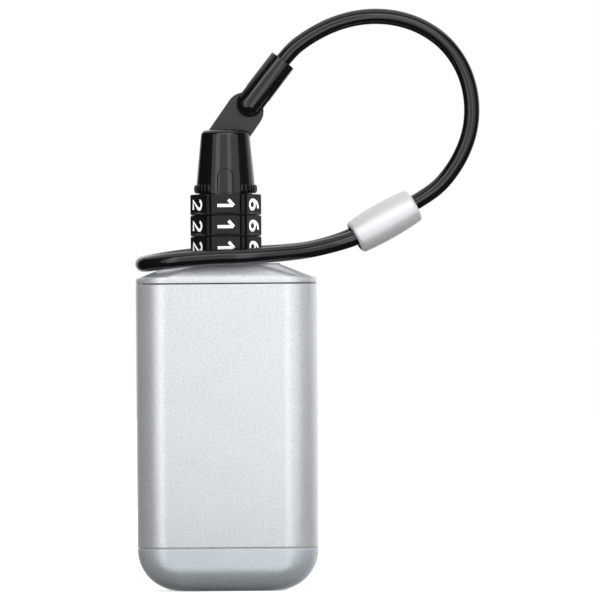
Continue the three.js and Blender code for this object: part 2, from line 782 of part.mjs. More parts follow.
// Code wheel: keyed into its dial ring. A tooth runs round in its groove and leaves through the gate in its
// flange.
function codeWheel(name) {
  const top = wheelBottom + wheelHeight;
  let body = bar(wheelRadius, wheelBottom, top, boreSides);
  const keyed = keys(dialBore + dialKeyDepth, dialKeyWidth, wheelBottom);
  body = body.add(keyed.intersect(bar(dialRadius, wheelBottom, top, boreSides)));
  body = body.subtract(bar(wheelGrooveRadius, wheelBottom - cutOverrun, top - wheelFlangeHeight, boreSides));
  body = body.subtract(bar(wheelFlangeBore, wheelBottom, top + cutOverrun, boreSides));
  const notches = [];
  for (let place = 0; place < dialPositions / 2; place++) {
    const across = new THREE.BoxGeometry(2 * wheelNotchRadius, wheelNotchWidth, wheelHeight);
    const turn = Math.PI / 2 + (place * 2 * Math.PI) / dialPositions;
    notches.push(solid(across.translate(0, 0, top).rotateZ(turn)));
  }
  for (const notch of notches) {
    body = body.subtract(notch);
  }
  body = body.subtract(toothWay(wheelBottom, top + cutOverrun));
  return piece(name, body, brass);
}

// Spindle: the rod under the plug head, with its teeth towards the front.
function spindle() {
  const seatTop = plugBottom + plugRecess + spindleSeat;
  let body = turned(
    [
      [0, spindleTip],
      [spindleRadius - edgeBreak, spindleTip],
      [spindleRadius, spindleTip + edgeBreak],
      [spindleRadius, seatTop - seatGap],
      [0, seatTop - seatGap],
    ],
    smallSides,
  );
  for (let level = 0; level < dialCount; level++) {
    const bottom = dialStackBottom + level * dialPitch + wheelBottom + looseGap;
    const top = bottom + toothHeight;
    const tooth = block(toothWidth, toothRadius, bottom, top, 0, -toothRadius / 2);
    body = body.add(tooth.intersect(bar(toothRadius, bottom, top, boreSides)));
  }
  const pinZ = plugBottom + plugRecess + crossPinHeight;
  const reach = spindleRadius + cutOverrun;
  body = body.subtract(crossBar(crossPinRadius + seatGap, -reach, reach, pinSides, 0, pinZ));
  return piece("spindle", body, steel);
}

// Radius of the plug head's cone at a height above its foot.
function plugRadiusAt(height) {
  const share = (height - gripHeight) / (plugShoulderHeight - gripHeight);
  return plugBaseRadius + (plugTopRadius - plugBaseRadius) * share;
}

// The plug head's smooth outside, taken in by an inset.
function plugCone(inset) {
  const crown = plugHeight - plugShoulderHeight - plugShoulderRound;
  const grip = [];
  for (let step = 0; step <= gripSteps; step++) {
    const place = (2 * step) / gripSteps - 1;
    grip.push([gripRadius - gripBow * place * place - inset, (gripHeight * step) / gripSteps]);
  }
  return turned(
    [
      [0, 0],
      ...grip,
      [plugBaseRadius - inset, gripHeight],
      [plugTopRadius - inset, plugShoulderHeight],
      [
        plugTopRadius - plugShoulderRound * (1 - Math.SQRT1_2) - inset,
        plugShoulderHeight + plugShoulderRound * Math.SQRT1_2,
      ],
      [plugTopRadius - plugShoulderRound - inset, plugShoulderHeight + plugShoulderRound],
      [plugTopRadius / 2 - inset, plugHeight - crown * plugCrownDropShare],
      [0, plugHeight],
    ],
    roundSides,
  );
}

// The ribbed grip round the foot of the plug head, with a smooth pad at the front and at the back.
function gripCutter() {
  const [fall, floor, rise] = gripRibShares;
  const points = [];
  const ribs = Math.floor((180 - 2 * gripPadHalfAngle) / gripRibPitchAngle);
  const first = 90 - (ribs * gripRibPitchAngle) / 2;
  const add = (degrees, radius) => {
    const angle = radians(degrees - 90);
    points.push(new THREE.Vector2(radius * Math.cos(angle), radius * Math.sin(angle)));
  };
  for (const half of [0, 180]) {
    for (let rib = 0; rib < ribs; rib++) {
      const start = half + first + rib * gripRibPitchAngle;
      add(start, gripRadius);
      add(start + gripRibPitchAngle * fall, gripRadius - gripRibDepth);
      add(start + gripRibPitchAngle * floor, gripRadius - gripRibDepth);
      add(start + gripRibPitchAngle * rise, gripRadius);
    }
    const padStart = half + first + ribs * gripRibPitchAngle;
    const padTurn = 180 - ribs * gripRibPitchAngle;
    for (let step = 0; step < cornerSteps; step++) {
      add(padStart + (padTurn * step) / cornerSteps, gripRadius);
    }
  }
  const ring = extruded(new THREE.Shape(points), 0, gripHeight);
  return bar(gripRadius + cutOverrun, 0, gripHeight, roundSides).subtract(ring);
}

// The arch-shaped index mark on the front of the plug head, as a fine groove.
function archCutter() {
  const arch = (halfWidth, foot, top) => {
    const shape = new THREE.Shape();
    shape.moveTo(-halfWidth, foot);
    shape.lineTo(halfWidth, foot);
    shape.absarc(0, top - halfWidth, halfWidth, 0, Math.PI, false);
    return upright(shape, 2 * gripRadius, -gripRadius, smallSides);
  };
  const line = arch(archWidth / 2, -cutOverrun, archHeight);
  const inside = arch(archWidth / 2 - archLine, -2 * cutOverrun, archHeight - archLine);
  return line.subtract(inside).subtract(plugCone(archDepth));
}

// Plug head: the cone on top of the dials, forked at its top for the link.
function plugHead() {
  let body = plugCone(0).subtract(gripCutter()).subtract(archCutter());
  body = body.subtract(bar(plugRecessRadius, -cutOverrun, plugRecess, boreSides));
  body = body.subtract(bar(spindleRadius + seatGap, 0, plugRecess + spindleSeat, smallSides));
  const slotFloor = pivotHeight - linkRadius - slideGap;
  const slot = block(2 * gripRadius, linkThickness + 2 * runGap, slotFloor, plugHeight + cutOverrun);
  body = body.subtract(slot);
  body = body.subtract(
    crossBar(pivotPinRadius + seatGap, -pivotPinDepth - seatGap, plugBaseRadius, smallSides, 0, pivotHeight),
  );
  const pinFront = -spindleRadius - 2 * crossPinRadius;
  const pinZ = plugRecess + crossPinHeight;
  const pinHole = crossPinRadius + seatGap;
  body = body.subtract(crossBar(pinHole, pinFront - seatGap, plugBaseRadius, pinSides, 0, pinZ));
  return piece("plug_head", body, blackGloss);
}

// Cross pin that holds the spindle in the plug head.
function crossPin() {
  const pinZ = plugRecess + crossPinHeight;
  const front = -spindleRadius - 2 * crossPinRadius;
  const back = plugRadiusAt(pinZ) - looseGap;
  return piece("spindle_pin", crossBar(crossPinRadius, front, back, pinSides, 0, pinZ), steel);
}

// Pivot pin of the link, driven in from the back.
function pivotPin() {
  const back = plugRadiusAt(pivotHeight) - looseGap;
  const pin = crossBar(pivotPinRadius, -pivotPinDepth, back, smallSides, 0, pivotHeight);
  return piece("pivot_pin", pin, steel);
}

// Link: a flat strip with round ends, drawn upright from its pivot.
function linkPlate() {
  const shape = new THREE.Shape();
  shape.absarc(0, linkLength, linkRadius, 0, Math.PI, false);
  shape.absarc(0, 0, linkRadius, Math.PI, 2 * Math.PI, false);
  let body = upright(shape, linkThickness);
  const half = linkThickness / 2 + cutOverrun;
  body = body.subtract(crossBar(pivotPinRadius + seatGap, -half, half, smallSides, 0, 0));
  body = body.subtract(crossBar(rivetRadius + seatGap, -half, half, smallSides, 0, rivetReach));
  return piece("link_plate", body, blackSatin);
}

// Cable terminal: a swaged sleeve, round at its forked end, drawn upright from the rivet.
function cableTerminal() {
  const profile = [];
  for (let step = 0; step <= capRoundSteps; step++) {
    const turn = ((step / capRoundSteps) * Math.PI) / 2;
    profile.push([terminalRadius * Math.sin(turn), -terminalRadius * Math.cos(turn)]);
  }
  profile.push([terminalEndRadius, terminalLength - edgeBreak]);
  profile.push([terminalEndRadius - edgeBreak, terminalLength]);
  profile.push([0, terminalLength]);
  let body = turned(profile, roundSides);
  const boreRadius = cableRadius + runGap;
  const bore = turned(
    [
      [0, terminalLength - terminalBoreDepth],
      [boreRadius, terminalLength - terminalBoreDepth],
      [boreRadius, terminalLength - 2 * terminalFlare],
      [boreRadius + terminalFlare, terminalLength],
      [boreRadius + terminalFlare, terminalLength + cutOverrun],
      [0, terminalLength + cutOverrun],
    ],
    smallSides,
  );
  body = body.subtract(bore);
  const fork = linkThickness + 2 * runGap;
  body = body.subtract(
    block(2 * terminalRadius + cutOverrun, fork, -terminalRadius - cutOverrun, terminalForkDepth),
  );
  const reach = terminalRadius + cutOverrun;
  body = body.subtract(crossBar(rivetRadius + seatGap, -reach, reach, smallSides, 0, 0));
  const mesh = piece("cable_terminal", body, blackGloss);
  mesh.position.z = rivetReach;
  mesh.rotation.y = radians(terminalLean);
  return mesh;
}

function terminalRivet() {
  const half = terminalRadius - looseGap;
  const mesh = piece("terminal_rivet", crossBar(rivetRadius, -half, half, smallSides, 0, 0), blackSatin);
  mesh.position.z = rivetReach;
  return mesh;
}

// Ferrule: an oval aluminium barrel with two bores side by side, drawn along its own axis.
function ferrule() {
  const sections = [];
  for (let step = 0; step <= ferruleSteps; step++) {
    const place = (2 * step) / ferruleSteps - 1;
    const swell = 1 - place * place;
    const halfWidth = ferruleEndHalfWidth + (ferruleHalfWidth - ferruleEndHalfWidth) * swell;
    const halfDepth = ferruleEndHalfDepth + (ferruleHalfDepth - ferruleEndHalfDepth) * swell;
    const height = place * (ferruleLength / 2 - ferruleEdge);
    sections.push([halfWidth, halfDepth, halfWidth - ferruleEdge, height]);
  }
  const end = sections[0].slice(0, 3).map((size) => size - ferruleEdge);
  sections.unshift([...end, -ferruleLength / 2]);
  sections.push([...end, ferruleLength / 2]);
  let body = solid(lofted(sections));
  const reach = ferruleLength / 2 + cutOverrun;
  for (const side of [-1, 1]) {
    const y = (side * ferruleBoreSpacing) / 2;
    body = body.subtract(bar(cableRadius + runGap, -reach, reach, smallSides, 0, y));
  }
  const mesh = piece("ferrule", body.rotate([0, 0, ferruleRoll]), satinAlloy);
  mesh.position.set(...ferrulePlace);
  mesh.rotation.set(0, radians(90 - ferruleRise), radians(ferruleYaw), "ZYX");
  return mesh;
}

// The cable's middle line, from inside the terminal, round the carrying loop, through the ferrule's rear
// bore, round the post as an eye and back into the ferrule's front bore.
const cableRoute = [
  [13.5, 0, 168.1],
  [16.4, 0, 171.9],
  [19.5, 0, 175.8],
  [24.2, 0, 180.6],
  [34.3, 0.2, 186.6],
  [44.8, 0.6, 189.6],
  [55.2, 1.2, 189.6],
  [64.8, 1.8, 186.7],
  [73, 2.5, 181],
  [78.8, 3.2, 172.8],
  [81.6, 3.8, 163.1],
  [81.3, 4.3, 152.8],
  [77.7, 4.6, 142.9],
  [71.1, 4.6, 134],
  [63.09, 4.09, 128.35],
  [61.49, 3.92, 127.53],
  [42.71, 1.95, 117.91],
  [41.11, 1.78, 117.09],
  [35.7, 2.2, 115.1],
  [27.7, 5.2, 113.1],
  [19.8, 8.4, 112.2],
  [11.8, 11.6, 111.8],
  [4, 14.1, 111.6],
  [-5, 14.9, 111.4],
  [-12.7, 14.9, 110.9],
  [-20.2, 12.9, 109.9],
  [-25.6, 7.4, 108.9],
  [-27.6, 0, 108.4],
  [-25.6, -7.4, 108.5],
  [-20.2, -12.9, 109.1],
  [-12.7, -14.9, 109.8],
  [-5, -14.9, 110.3],
  [4, -14.7, 110.6],
  [11.8, -13.2, 111],
  [19.8, -10.5, 111.6],
  [27.7, -7.6, 112.6],
  [35.7, -5.1, 114.4],
  [42.11, -4.09, 116.35],
  [43.71, -3.92, 117.17],
  [62.31, -1.97, 126.7],
];

// Cable: steel rope in a round vinyl coat.
function cable() {
  const path = new THREE.CatmullRomCurve3(cableRoute.map((point) => new THREE.Vector3(...point)));
  const section = new THREE.Shape();
  for (let side = 0; side < cableSides; side++) {
    const angle = (2 * Math.PI * side) / cableSides;
    const x = cableRadius * Math.cos(angle);
    const y = cableRadius * Math.sin(angle);
    if (side === 0) {
      section.moveTo(x, y);
    } else {
      section.lineTo(x, y);
    }
  }
  const geometry = new THREE.ExtrudeGeometry(section, { steps: cableSteps, extrudePath: path });
  return piece("cable", solid(geometry), blackVinyl);
}

function screwAt(name, grip, x, y, z, upsideDown) {
  const screw = panScrew(name, grip);
  screw.position.set(x, y, z);
  screw.rotation.x = upsideDown ? Math.PI : 0;
  return screw;
}

// The case stands on the ground: sleeve, bottom cap and the screws between them.
const caseGroup = new THREE.Group();
caseGroup.add(shellSleeve(), bottomCap());
const capGrip = sleeveFloor + screwBite;
caseGroup.add(screwAt("cap_screw_left", capGrip, -capScrewX, 0, floorTop, false));
caseGroup.add(screwAt("cap_screw_right", capGrip, capScrewX, 0, floorTop, false));

// Everything that lifts off with the lid.
const lidGroup = new THREE.Group();
lidGroup.position.z = lidBottom;
lidGroup.add(lid(), lidSeal(), keyTray(), latchSpring(), latchRivet());
lidGroup.add(lockCore(), clickSpring(), baseRing(), stackWasher(), retainingRing());
const trayGrip = trayShelf + screwBite;
const shelfBottom = shelfTop - trayShelf;
lidGroup.add(screwAt("tray_screw_left", trayGrip, -trayScrewX, -trayScrewY, shelfBottom, true));
lidGroup.add(screwAt("tray_screw_right", trayGrip, trayScrewX, trayScrewY, shelfBottom, true));
const coreGrip = coreFlangeHeight + coreScrewBite - seatGap;
const coreScrewZ = coreSeat - seatGap - coreFlangeHeight;
lidGroup.add(screwAt("core_screw_left", coreGrip, -coreScrewSpacing / 2, 0, coreScrewZ, true));
lidGroup.add(screwAt("core_screw_right", coreGrip, coreScrewSpacing / 2, 0, coreScrewZ, true));

// Dial 1 is the top one.
for (let dial = 1; dial <= dialCount; dial++) {
  const dialGroup = new THREE.Group();
  dialGroup.position.z = dialStackBottom + (dialCount - dial) * dialPitch;
  dialGroup.add(dialRing("dial_ring_" + dial), codeWheel("code_wheel_" + dial));
  lidGroup.add(dialGroup);
}

// The plug draws out of the dials with the link and the cable on it.
const plugGroup = new THREE.Group();
plugGroup.position.z = plugBottom;
const linkGroup = new THREE.Group();
linkGroup.position.z = pivotHeight;
linkGroup.rotation.y = radians(linkLean);
linkGroup.add(linkPlate(), cableTerminal(), terminalRivet());
plugGroup.add(plugHead(), crossPin(), pivotPin(), linkGroup);
lidGroup.add(spindle(), plugGroup);

const safe = new THREE.Group();
safe.name = "portable_car_safe";
safe.add(caseGroup, lidGroup, ferrule(), cable());

export default safe;
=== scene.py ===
import math

import bmesh
import bpy
from mathutils import Matrix, Vector


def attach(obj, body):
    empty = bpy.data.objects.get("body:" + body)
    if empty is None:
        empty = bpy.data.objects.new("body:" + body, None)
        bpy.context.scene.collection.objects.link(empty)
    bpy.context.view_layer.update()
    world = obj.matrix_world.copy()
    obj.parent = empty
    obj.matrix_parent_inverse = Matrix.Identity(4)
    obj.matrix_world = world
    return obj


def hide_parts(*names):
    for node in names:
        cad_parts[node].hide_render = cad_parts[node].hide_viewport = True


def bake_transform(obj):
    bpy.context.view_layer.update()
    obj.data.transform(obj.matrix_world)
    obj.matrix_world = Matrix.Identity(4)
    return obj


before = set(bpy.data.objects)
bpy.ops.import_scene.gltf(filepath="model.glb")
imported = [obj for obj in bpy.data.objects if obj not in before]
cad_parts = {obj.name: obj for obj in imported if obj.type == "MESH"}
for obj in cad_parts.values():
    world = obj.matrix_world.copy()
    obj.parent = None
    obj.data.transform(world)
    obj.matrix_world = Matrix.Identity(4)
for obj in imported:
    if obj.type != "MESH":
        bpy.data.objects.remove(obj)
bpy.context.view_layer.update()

# Camera: level with the seam under the lid, square on to the number side, through a long lens.
# One pixel of the 600 by 600 picture is 0.3315 mm at the post, and the picture leans 0.43 degrees.
MM = 0.001
PICTURE_WIDTH = 600 * 0.3315 * MM
CAMERA_DISTANCE = 3000 * MM
CAMERA_X = 24.4 * MM
HORIZON = 100.0 * MM
PICTURE_MIDDLE = 96.1 * MM
PICTURE_LEAN = math.radians(0.43)

lens = bpy.data.cameras.new("camera")
lens.sensor_width = 36
lens.lens = lens.sensor_width * CAMERA_DISTANCE / PICTURE_WIDTH
lens.shift_y = (PICTURE_MIDDLE - HORIZON) / PICTURE_WIDTH
lens.clip_start = 0.01
camera = bpy.data.objects.new("camera", lens)
camera.location = (CAMERA_X, -CAMERA_DISTANCE, HORIZON)
camera.rotation_euler = (math.radians(90), PICTURE_LEAN, 0)
bpy.context.scene.collection.objects.link(camera)
bpy.context.scene.camera = camera

# Cable: a steel rope in a smooth black vinyl coat, extruded round it. It runs from inside the terminal round
# the carrying loop, through the ferrule, round the post as an eye and back into the ferrule.
CABLE_RADIUS = 2.6
CABLE_SIDES = 28
CABLE_STEP = 1.2
CABLE_BLACK = (0.004, 0.0043, 0.005)
GLOSS_TINT = (0.9, 0.96, 1, 1)
COAT_ROUGHNESS = 0.08
LEAST_ROUGHNESS = 0.02
SLOW_TONE_SCALE = 70
CABLE_ROUTE = [
    (13.5, 0, 168.1), (16.4, 0, 171.9), (19.5, 0, 175.8), (24.2, 0, 180.6), (34.3, 0.2, 186.6),
    (44.8, 0.6, 189.6), (55.2, 1.2, 189.6), (64.8, 1.8, 186.7), (73, 2.5, 181), (78.8, 3.2, 172.8),
    (81.6, 3.8, 163.1), (81.3, 4.3, 152.8), (77.7, 4.6, 142.9), (71.1, 4.6, 134), (63.09, 4.09, 128.35),
    (61.49, 3.92, 127.53), (42.71, 1.95, 117.91), (41.11, 1.78, 117.09), (35.7, 2.2, 115.1),
    (27.7, 5.2, 113.1), (19.8, 8.4, 112.2), (11.8, 11.6, 111.8), (4, 14.1, 111.6), (-5, 14.9, 111.4),
    (-12.7, 14.9, 110.9), (-20.2, 12.9, 109.9), (-25.6, 7.4, 108.9), (-27.6, 0, 108.4),
    (-25.6, -7.4, 108.5), (-20.2, -12.9, 109.1), (-12.7, -14.9, 109.8), (-5, -14.9, 110.3),
    (4, -14.7, 110.6), (11.8, -13.2, 111), (19.8, -10.5, 111.6), (27.7, -7.6, 112.6), (35.7, -5.1, 114.4),
    (42.11, -4.09, 116.35), (43.71, -3.92, 117.17), (62.31, -1.97, 126.7),
]


def smooth_route(points, step):
    """Points about a step apart on the smooth line through the given ones, spaced by their chords."""
    given = [Vector(p) for p in points]
    given = [2 * given[0] - given[1], *given, 2 * given[-1] - given[-2]]
    line = [given[1].copy()]
    for before, start, end, after in zip(given, given[1:], given[2:], given[3:]):
        times = [0.0]
        for a, b in ((before, start), (start, end), (end, after)):
            times.append(times[-1] + math.sqrt((b - a).length))
        t0, t1, t2, t3 = times
        count = max(1, round((end - start).length / step))
        for i in range(1, count + 1):
            t = t1 + (t2 - t1) * i / count
            a1 = before * ((t1 - t) / (t1 - t0)) + start * ((t - t0) / (t1 - t0))
            a2 = start * ((t2 - t) / (t2 - t1)) + end * ((t - t1) / (t2 - t1))
            a3 = end * ((t3 - t) / (t3 - t2)) + after * ((t - t2) / (t3 - t2))
            b1 = a1 * ((t2 - t) / (t2 - t0)) + a2 * ((t - t0) / (t2 - t0))
            b2 = a2 * ((t3 - t) / (t3 - t1)) + a3 * ((t - t1) / (t3 - t1))
            line.append(b1 * ((t2 - t) / (t2 - t1)) + b2 * ((t - t1) / (t2 - t1)))
    return line


def wire(tree, *links):
    """Links in a node tree, each from a node's output to a node's input."""
    for source, output, target, socket in links:
        tree.links.new(source.outputs[output], target.inputs[socket])


def math_node(tree, operation, *values):
    """A math node, with the values of its inputs that stay fixed. None leaves an input open for a link."""
    made = tree.nodes.new("ShaderNodeMath")
    made.operation = operation
    for socket, value in zip(made.inputs, values):
        if value is not None:
            socket.default_value = value
    return made


def finish(name, colour, roughness, metallic=0.0, grain=0.4, bump=0.02, tone=0.06, rough_spread=0.06, coat=0.0,
           specular=0.5, stretch=(1, 1, 1), slow_share=0.5):
    """A finish with a fine grain in its roughness and bump, and a slow change of tone over the piece."""
    made = bpy.data.materials.new(name)
    made.use_nodes = True
    tree = made.node_tree
    shader = tree.nodes["Principled BSDF"]
    for socket, value in (("Metallic", metallic), ("Specular IOR Level", specular),
                          ("Specular Tint", (1, 1, 1, 1) if metallic else GLOSS_TINT), ("Coat Weight", coat),
                          ("Coat Roughness", COAT_ROUGHNESS)):
        shader.inputs[socket].default_value = value
    place = tree.nodes.new("ShaderNodeTexCoord")
    along = tree.nodes.new("ShaderNodeMapping")
    along.inputs["Scale"].default_value = stretch
    wire(tree, (place, "Object", along, "Vector"))
    noises = []
    for scale, detail in ((1 / (grain * MM), 3), (SLOW_TONE_SCALE, 2)):
        noise = tree.nodes.new("ShaderNodeTexNoise")
        noise.inputs["Scale"].default_value = scale
        noise.inputs["Detail"].default_value = detail
        wire(tree, (along, "Vector", noise, "Vector"))
        noises.append(noise)
    fine, slow = noises
    slow_part = math_node(tree, "MULTIPLY", None, slow_share)
    both = math_node(tree, "MULTIPLY_ADD", None, 1 - slow_share)
    tint = tree.nodes.new("ShaderNodeMix")
    tint.data_type = "RGBA"
    tint.inputs["A"].default_value = (*(c * (1 - tone) for c in colour), 1)
    tint.inputs["B"].default_value = (*(min(1, c * (1 + tone)) for c in colour), 1)
    rough = tree.nodes.new("ShaderNodeMapRange")
    rough.inputs["To Min"].default_value = max(LEAST_ROUGHNESS, roughness - rough_spread)
    rough.inputs["To Max"].default_value = roughness + rough_spread
    raised = tree.nodes.new("ShaderNodeBump")
    raised.inputs["Strength"].default_value = 1
    raised.inputs["Distance"].default_value = bump * MM
    wire(tree, (slow, "Fac", slow_part, 0), (fine, "Fac", both, 0), (slow_part, "Value", both, 2),
         (both, "Value", tint, "Factor"), (tint, "Result", shader, "Base Color"),
         (both, "Value", rough, "Value"), (rough, "Result", shader, "Roughness"),
         (fine, "Fac", raised, "Height"), (raised, "Normal", shader, "Normal"))
    return made


def node_group(name, sockets):
    """An empty geometry tree with a geometry input and output, and the named inputs."""
    group = bpy.data.node_groups.new(name, "GeometryNodeTree")
    group.interface.new_socket("Geometry", in_out="INPUT", socket_type="NodeSocketGeometry")
    group.interface.new_socket("Geometry", in_out="OUTPUT", socket_type="NodeSocketGeometry")
    for label, kind in {**sockets, "Material": "Material"}.items():
        group.interface.new_socket(label, in_out="INPUT", socket_type=f"NodeSocket{kind}")
    return group, group.nodes.new("NodeGroupInput")


def close_tree(group, given, shape, output):
    """The end of a geometry tree: instances made real, and the material set."""
    real = group.nodes.new("GeometryNodeRealizeInstances")
    paint = group.nodes.new("GeometryNodeSetMaterial")
    result = group.nodes.new("NodeGroupOutput")
    wire(group, (shape, output, real, "Geometry"), (real, "Geometry", paint, "Geometry"),
         (given, "Material", paint, "Material"), (paint, "Geometry", result, "Geometry"))


def swept_ring(group, given, radius):
    """Nodes that sweep a ring of a given radius along the given lines, closed at both ends."""
    ring = group.nodes.new("GeometryNodeCurvePrimitiveCircle")
    sweep = group.nodes.new("GeometryNodeCurveToMesh")
    sweep.inputs["Fill Caps"].default_value = True
    wire(group, (given, radius, ring, "Radius"), (given, "Geometry", sweep, "Curve"),
         (ring, "Curve", sweep, "Profile Curve"))
    return ring, sweep


def place_object(name, data):
    """A new object in the scene."""
    made = bpy.data.objects.new(name, data)
    bpy.context.scene.collection.objects.link(made)
    return made


def drawn_lines(name, lines):
    """An object that holds each list of points, in metres, as a line."""
    curve = bpy.data.curves.new(name, "CURVE")
    curve.dimensions = "3D"
    for places in lines:
        spline = curve.splines.new("POLY")
        spline.points.add(len(places) - 1)
        for point, place in zip(spline.points, places):
            point.co = (*place, 1)
    return place_object(name, curve)


def shade(mesh, smooth_angle):
    """Round shading over every edge that turns by less than the angle."""
    mesh.shade_smooth()
    mesh.set_sharp_from_angle(angle=math.radians(smooth_angle))


def final_mesh(piece):
    """The plain mesh that an object's modifiers make."""
    graph = bpy.context.evaluated_depsgraph_get()
    return bpy.data.meshes.new_from_object(piece.evaluated_get(graph), preserve_all_data_layers=True,
                                           depsgraph=graph)


def grow(name, start, group, values, smooth_angle):
    """The plain mesh that a geometry tree makes from a start object, which is removed."""
    modifier = start.modifiers.new("grow", "NODES")
    modifier.node_group = group
    for item in group.interface.items_tree:
        if item.in_out == "INPUT" and item.name in values:
            modifier[item.identifier] = values[item.name]
    mesh = final_mesh(start)
    start.modifiers.remove(modifier)
    bpy.data.objects.remove(start)
    mesh.name = name
    shade(mesh, smooth_angle)
    return place_object(name, mesh)


def put(piece, body, slot, *nodes):
    """The piece rides on a body and stands for the given CAD nodes, which it hides. Its slot is not used."""
    if body:
        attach(piece, body)
    if nodes:
        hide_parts(*nodes)
    return piece


vinyl = finish("cable_vinyl", CABLE_BLACK, 0.16, grain=1.5, bump=0.01, tone=0.15, rough_spread=0.05, coat=0.25)
route = [p * MM for p in smooth_route(CABLE_ROUTE, CABLE_STEP)]
coat_tree, given = node_group("cable_coat", {"Radius": "Float", "Sides": "Int"})
ring, sweep = swept_ring(coat_tree, given, "Radius")
wire(coat_tree, (given, "Sides", ring, "Resolution"))
close_tree(coat_tree, given, sweep, "Mesh")
cable = grow("cable_coat", drawn_lines("cable_line", [route]), coat_tree,
             {"Radius": CABLE_RADIUS * MM, "Sides": CABLE_SIDES, "Material": vinyl}, smooth_angle=50)
put(cable, None, "vinyl_black", "cable")
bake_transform(cable)

# Studio: a wide soft box before the object, with a bright strip above it, a narrow panel at each side and soft
# fills at both sides and behind. The floor and the surround are white. Gloss finishes see white behind and
# above them and black at their sides, so that gloss black keeps its depth and its pale rims.
FLOOR_WHITE = (0.8, 0.8, 0.8, 1)
FLOOR_REACH = 4
FLOOR_LIFT = (0.55, 0.97)
FLOOR_NEAR = 0.10
FLOOR_FAR = 0.45
SURROUND_FILL = 0.42
GLOSS_CARDS = [
    # the way to its middle, how near to that way it starts and is full, level
    ((0.18, 0.94, 0.28), 0.52, 0.9, 1.0),
    ((0.0, 0.3, 1.0), 0.6, 0.8, 0.9),
    ((0.81, 0.57, 0.12), 0.93, 0.98, 0.5),
]
SOFT_BOXES = [
    # name, place, aims at, width, height, how bright its face is, seen in gloss
    ("front_box", (0.02, -1.0, 0.32), (0.02, 0, 0.32), 3.4, 1.3, 0.89, True),
    ("left_panel", (-0.62, -0.95, 0.15), (0.02, 0, 0.15), 0.35, 1.2, 1.0, True),
    ("right_panel", (0.30, -0.98, 0.15), (0.02, 0, 0.15), 0.3, 1.2, 0.9, True),
    ("high_strip", (0.02, -0.96, 0.86), (0.02, 0, 0.15), 1.6, 0.35, 1.75, True),
    ("left_fill", (-1.0, -0.2, 0.3), (0.02, 0, 0.08), 0.8, 0.8, 2.4, False),
    ("right_fill", (1.0, -0.2, 0.3), (0.02, 0, 0.08), 0.8, 0.8, 6.6, False),
    ("back_fill", (0.02, 1.0, 0.4), (0.02, 0, 0.1), 1.2, 0.8, 0.9, False),
]


def any_ray(tree, *rays):
    """The light path's test for any of the given kinds of ray."""
    path = tree.nodes.new("ShaderNodeLightPath")
    return largest(tree, [path.outputs[f"Is {ray} Ray"] for ray in rays])


def largest(tree, values):
    """The largest of the values."""
    most, *others = values
    for value in others:
        either = math_node(tree, "MAXIMUM")
        tree.links.new(most, either.inputs[0])
        tree.links.new(value, either.inputs[1])
        most = either.outputs["Value"]
    return most


def smooth_step(tree, source, output, start, full, least, most):
    """A value that passes smoothly from least to most while its source goes from start to full."""
    made = tree.nodes.new("ShaderNodeMapRange")
    made.interpolation_type = "SMOOTHSTEP"
    for socket, value in (("From Min", start), ("From Max", full), ("To Min", least), ("To Max", most)):
        made.inputs[socket].default_value = value
    wire(tree, (source, output, made, "Value"))
    return made


floor_mesh = bpy.data.meshes.new("floor")
floor_mesh.from_pydata([(x * FLOOR_REACH, y * FLOOR_REACH, 0) for x, y in ((-1, -1), (1, -1), (1, 1), (-1, 1))],
                       [], [(0, 1, 2, 3)])
floor = place_object("floor", floor_mesh)
floor.visible_glossy = False
floor_paint = bpy.data.materials.new("floor_white")
floor_paint.use_nodes = True
tree = floor_paint.node_tree
matt = tree.nodes["Principled BSDF"]
matt.inputs["Base Color"].default_value = FLOOR_WHITE
matt.inputs["Roughness"].default_value = 0.9
matt.inputs["Emission Color"].default_value = (1, 1, 1, 1)
place = tree.nodes.new("ShaderNodeTexCoord")
away = tree.nodes.new("ShaderNodeVectorMath")
away.operation = "LENGTH"
wire(tree, (place, "Object", away, 0))
fade = smooth_step(tree, away, "Value", FLOOR_NEAR, FLOOR_FAR, *FLOOR_LIFT)
lift = math_node(tree, "MULTIPLY")
tree.links.new(any_ray(tree, "Camera", "Glossy", "Transmission"), lift.inputs[0])
wire(tree, (fade, "Result", lift, 1), (lift, "Value", matt, "Emission Strength"))
floor_mesh.materials.append(floor_paint)

for name, place, aim, width, height, level, in_gloss in SOFT_BOXES:
    box = bpy.data.lights.new(name, "AREA")
    box.shape = "RECTANGLE"
    box.size, box.size_y = width, height
    box.energy = level * math.pi * width * height
    lamp = place_object(name, box)
    lamp.location = place
    lamp.rotation_euler = (Vector(aim) - Vector(place)).to_track_quat("-Z", "Y").to_euler()
    lamp.visible_camera = False
    lamp.visible_glossy = in_gloss

world = bpy.data.worlds.new("surround")
world.use_nodes = True
bpy.context.scene.world = world
tree = world.node_tree
sky = tree.nodes["Background"]
sky.inputs["Color"].default_value = (1, 1, 1, 1)
direction = tree.nodes.new("ShaderNodeTexCoord")
cards = []
for way, start, full, bright in GLOSS_CARDS:
    toward = tree.nodes.new("ShaderNodeVectorMath")
    toward.operation = "DOT_PRODUCT"
    toward.inputs[1].default_value = way
    wire(tree, (direction, "Generated", toward, 0))
    cards.append(smooth_step(tree, toward, "Value", start, full, 0, bright).outputs["Result"])
level = None
for ray, source in (("Glossy", largest(tree, cards)), ("Transmission", None), ("Camera", None)):
    pick = tree.nodes.new("ShaderNodeMix")
    pick.inputs["A"].default_value = SURROUND_FILL
    pick.inputs["B"].default_value = 1
    tree.links.new(any_ray(tree, ray), pick.inputs["Factor"])
    if level:
        tree.links.new(level, pick.inputs["A"])
    if source:
        tree.links.new(source, pick.inputs["B"])
    level = pick.outputs["Result"]
tree.links.new(level, sky.inputs["Strength"])
bpy.context.scene.view_settings.view_transform = "Standard"

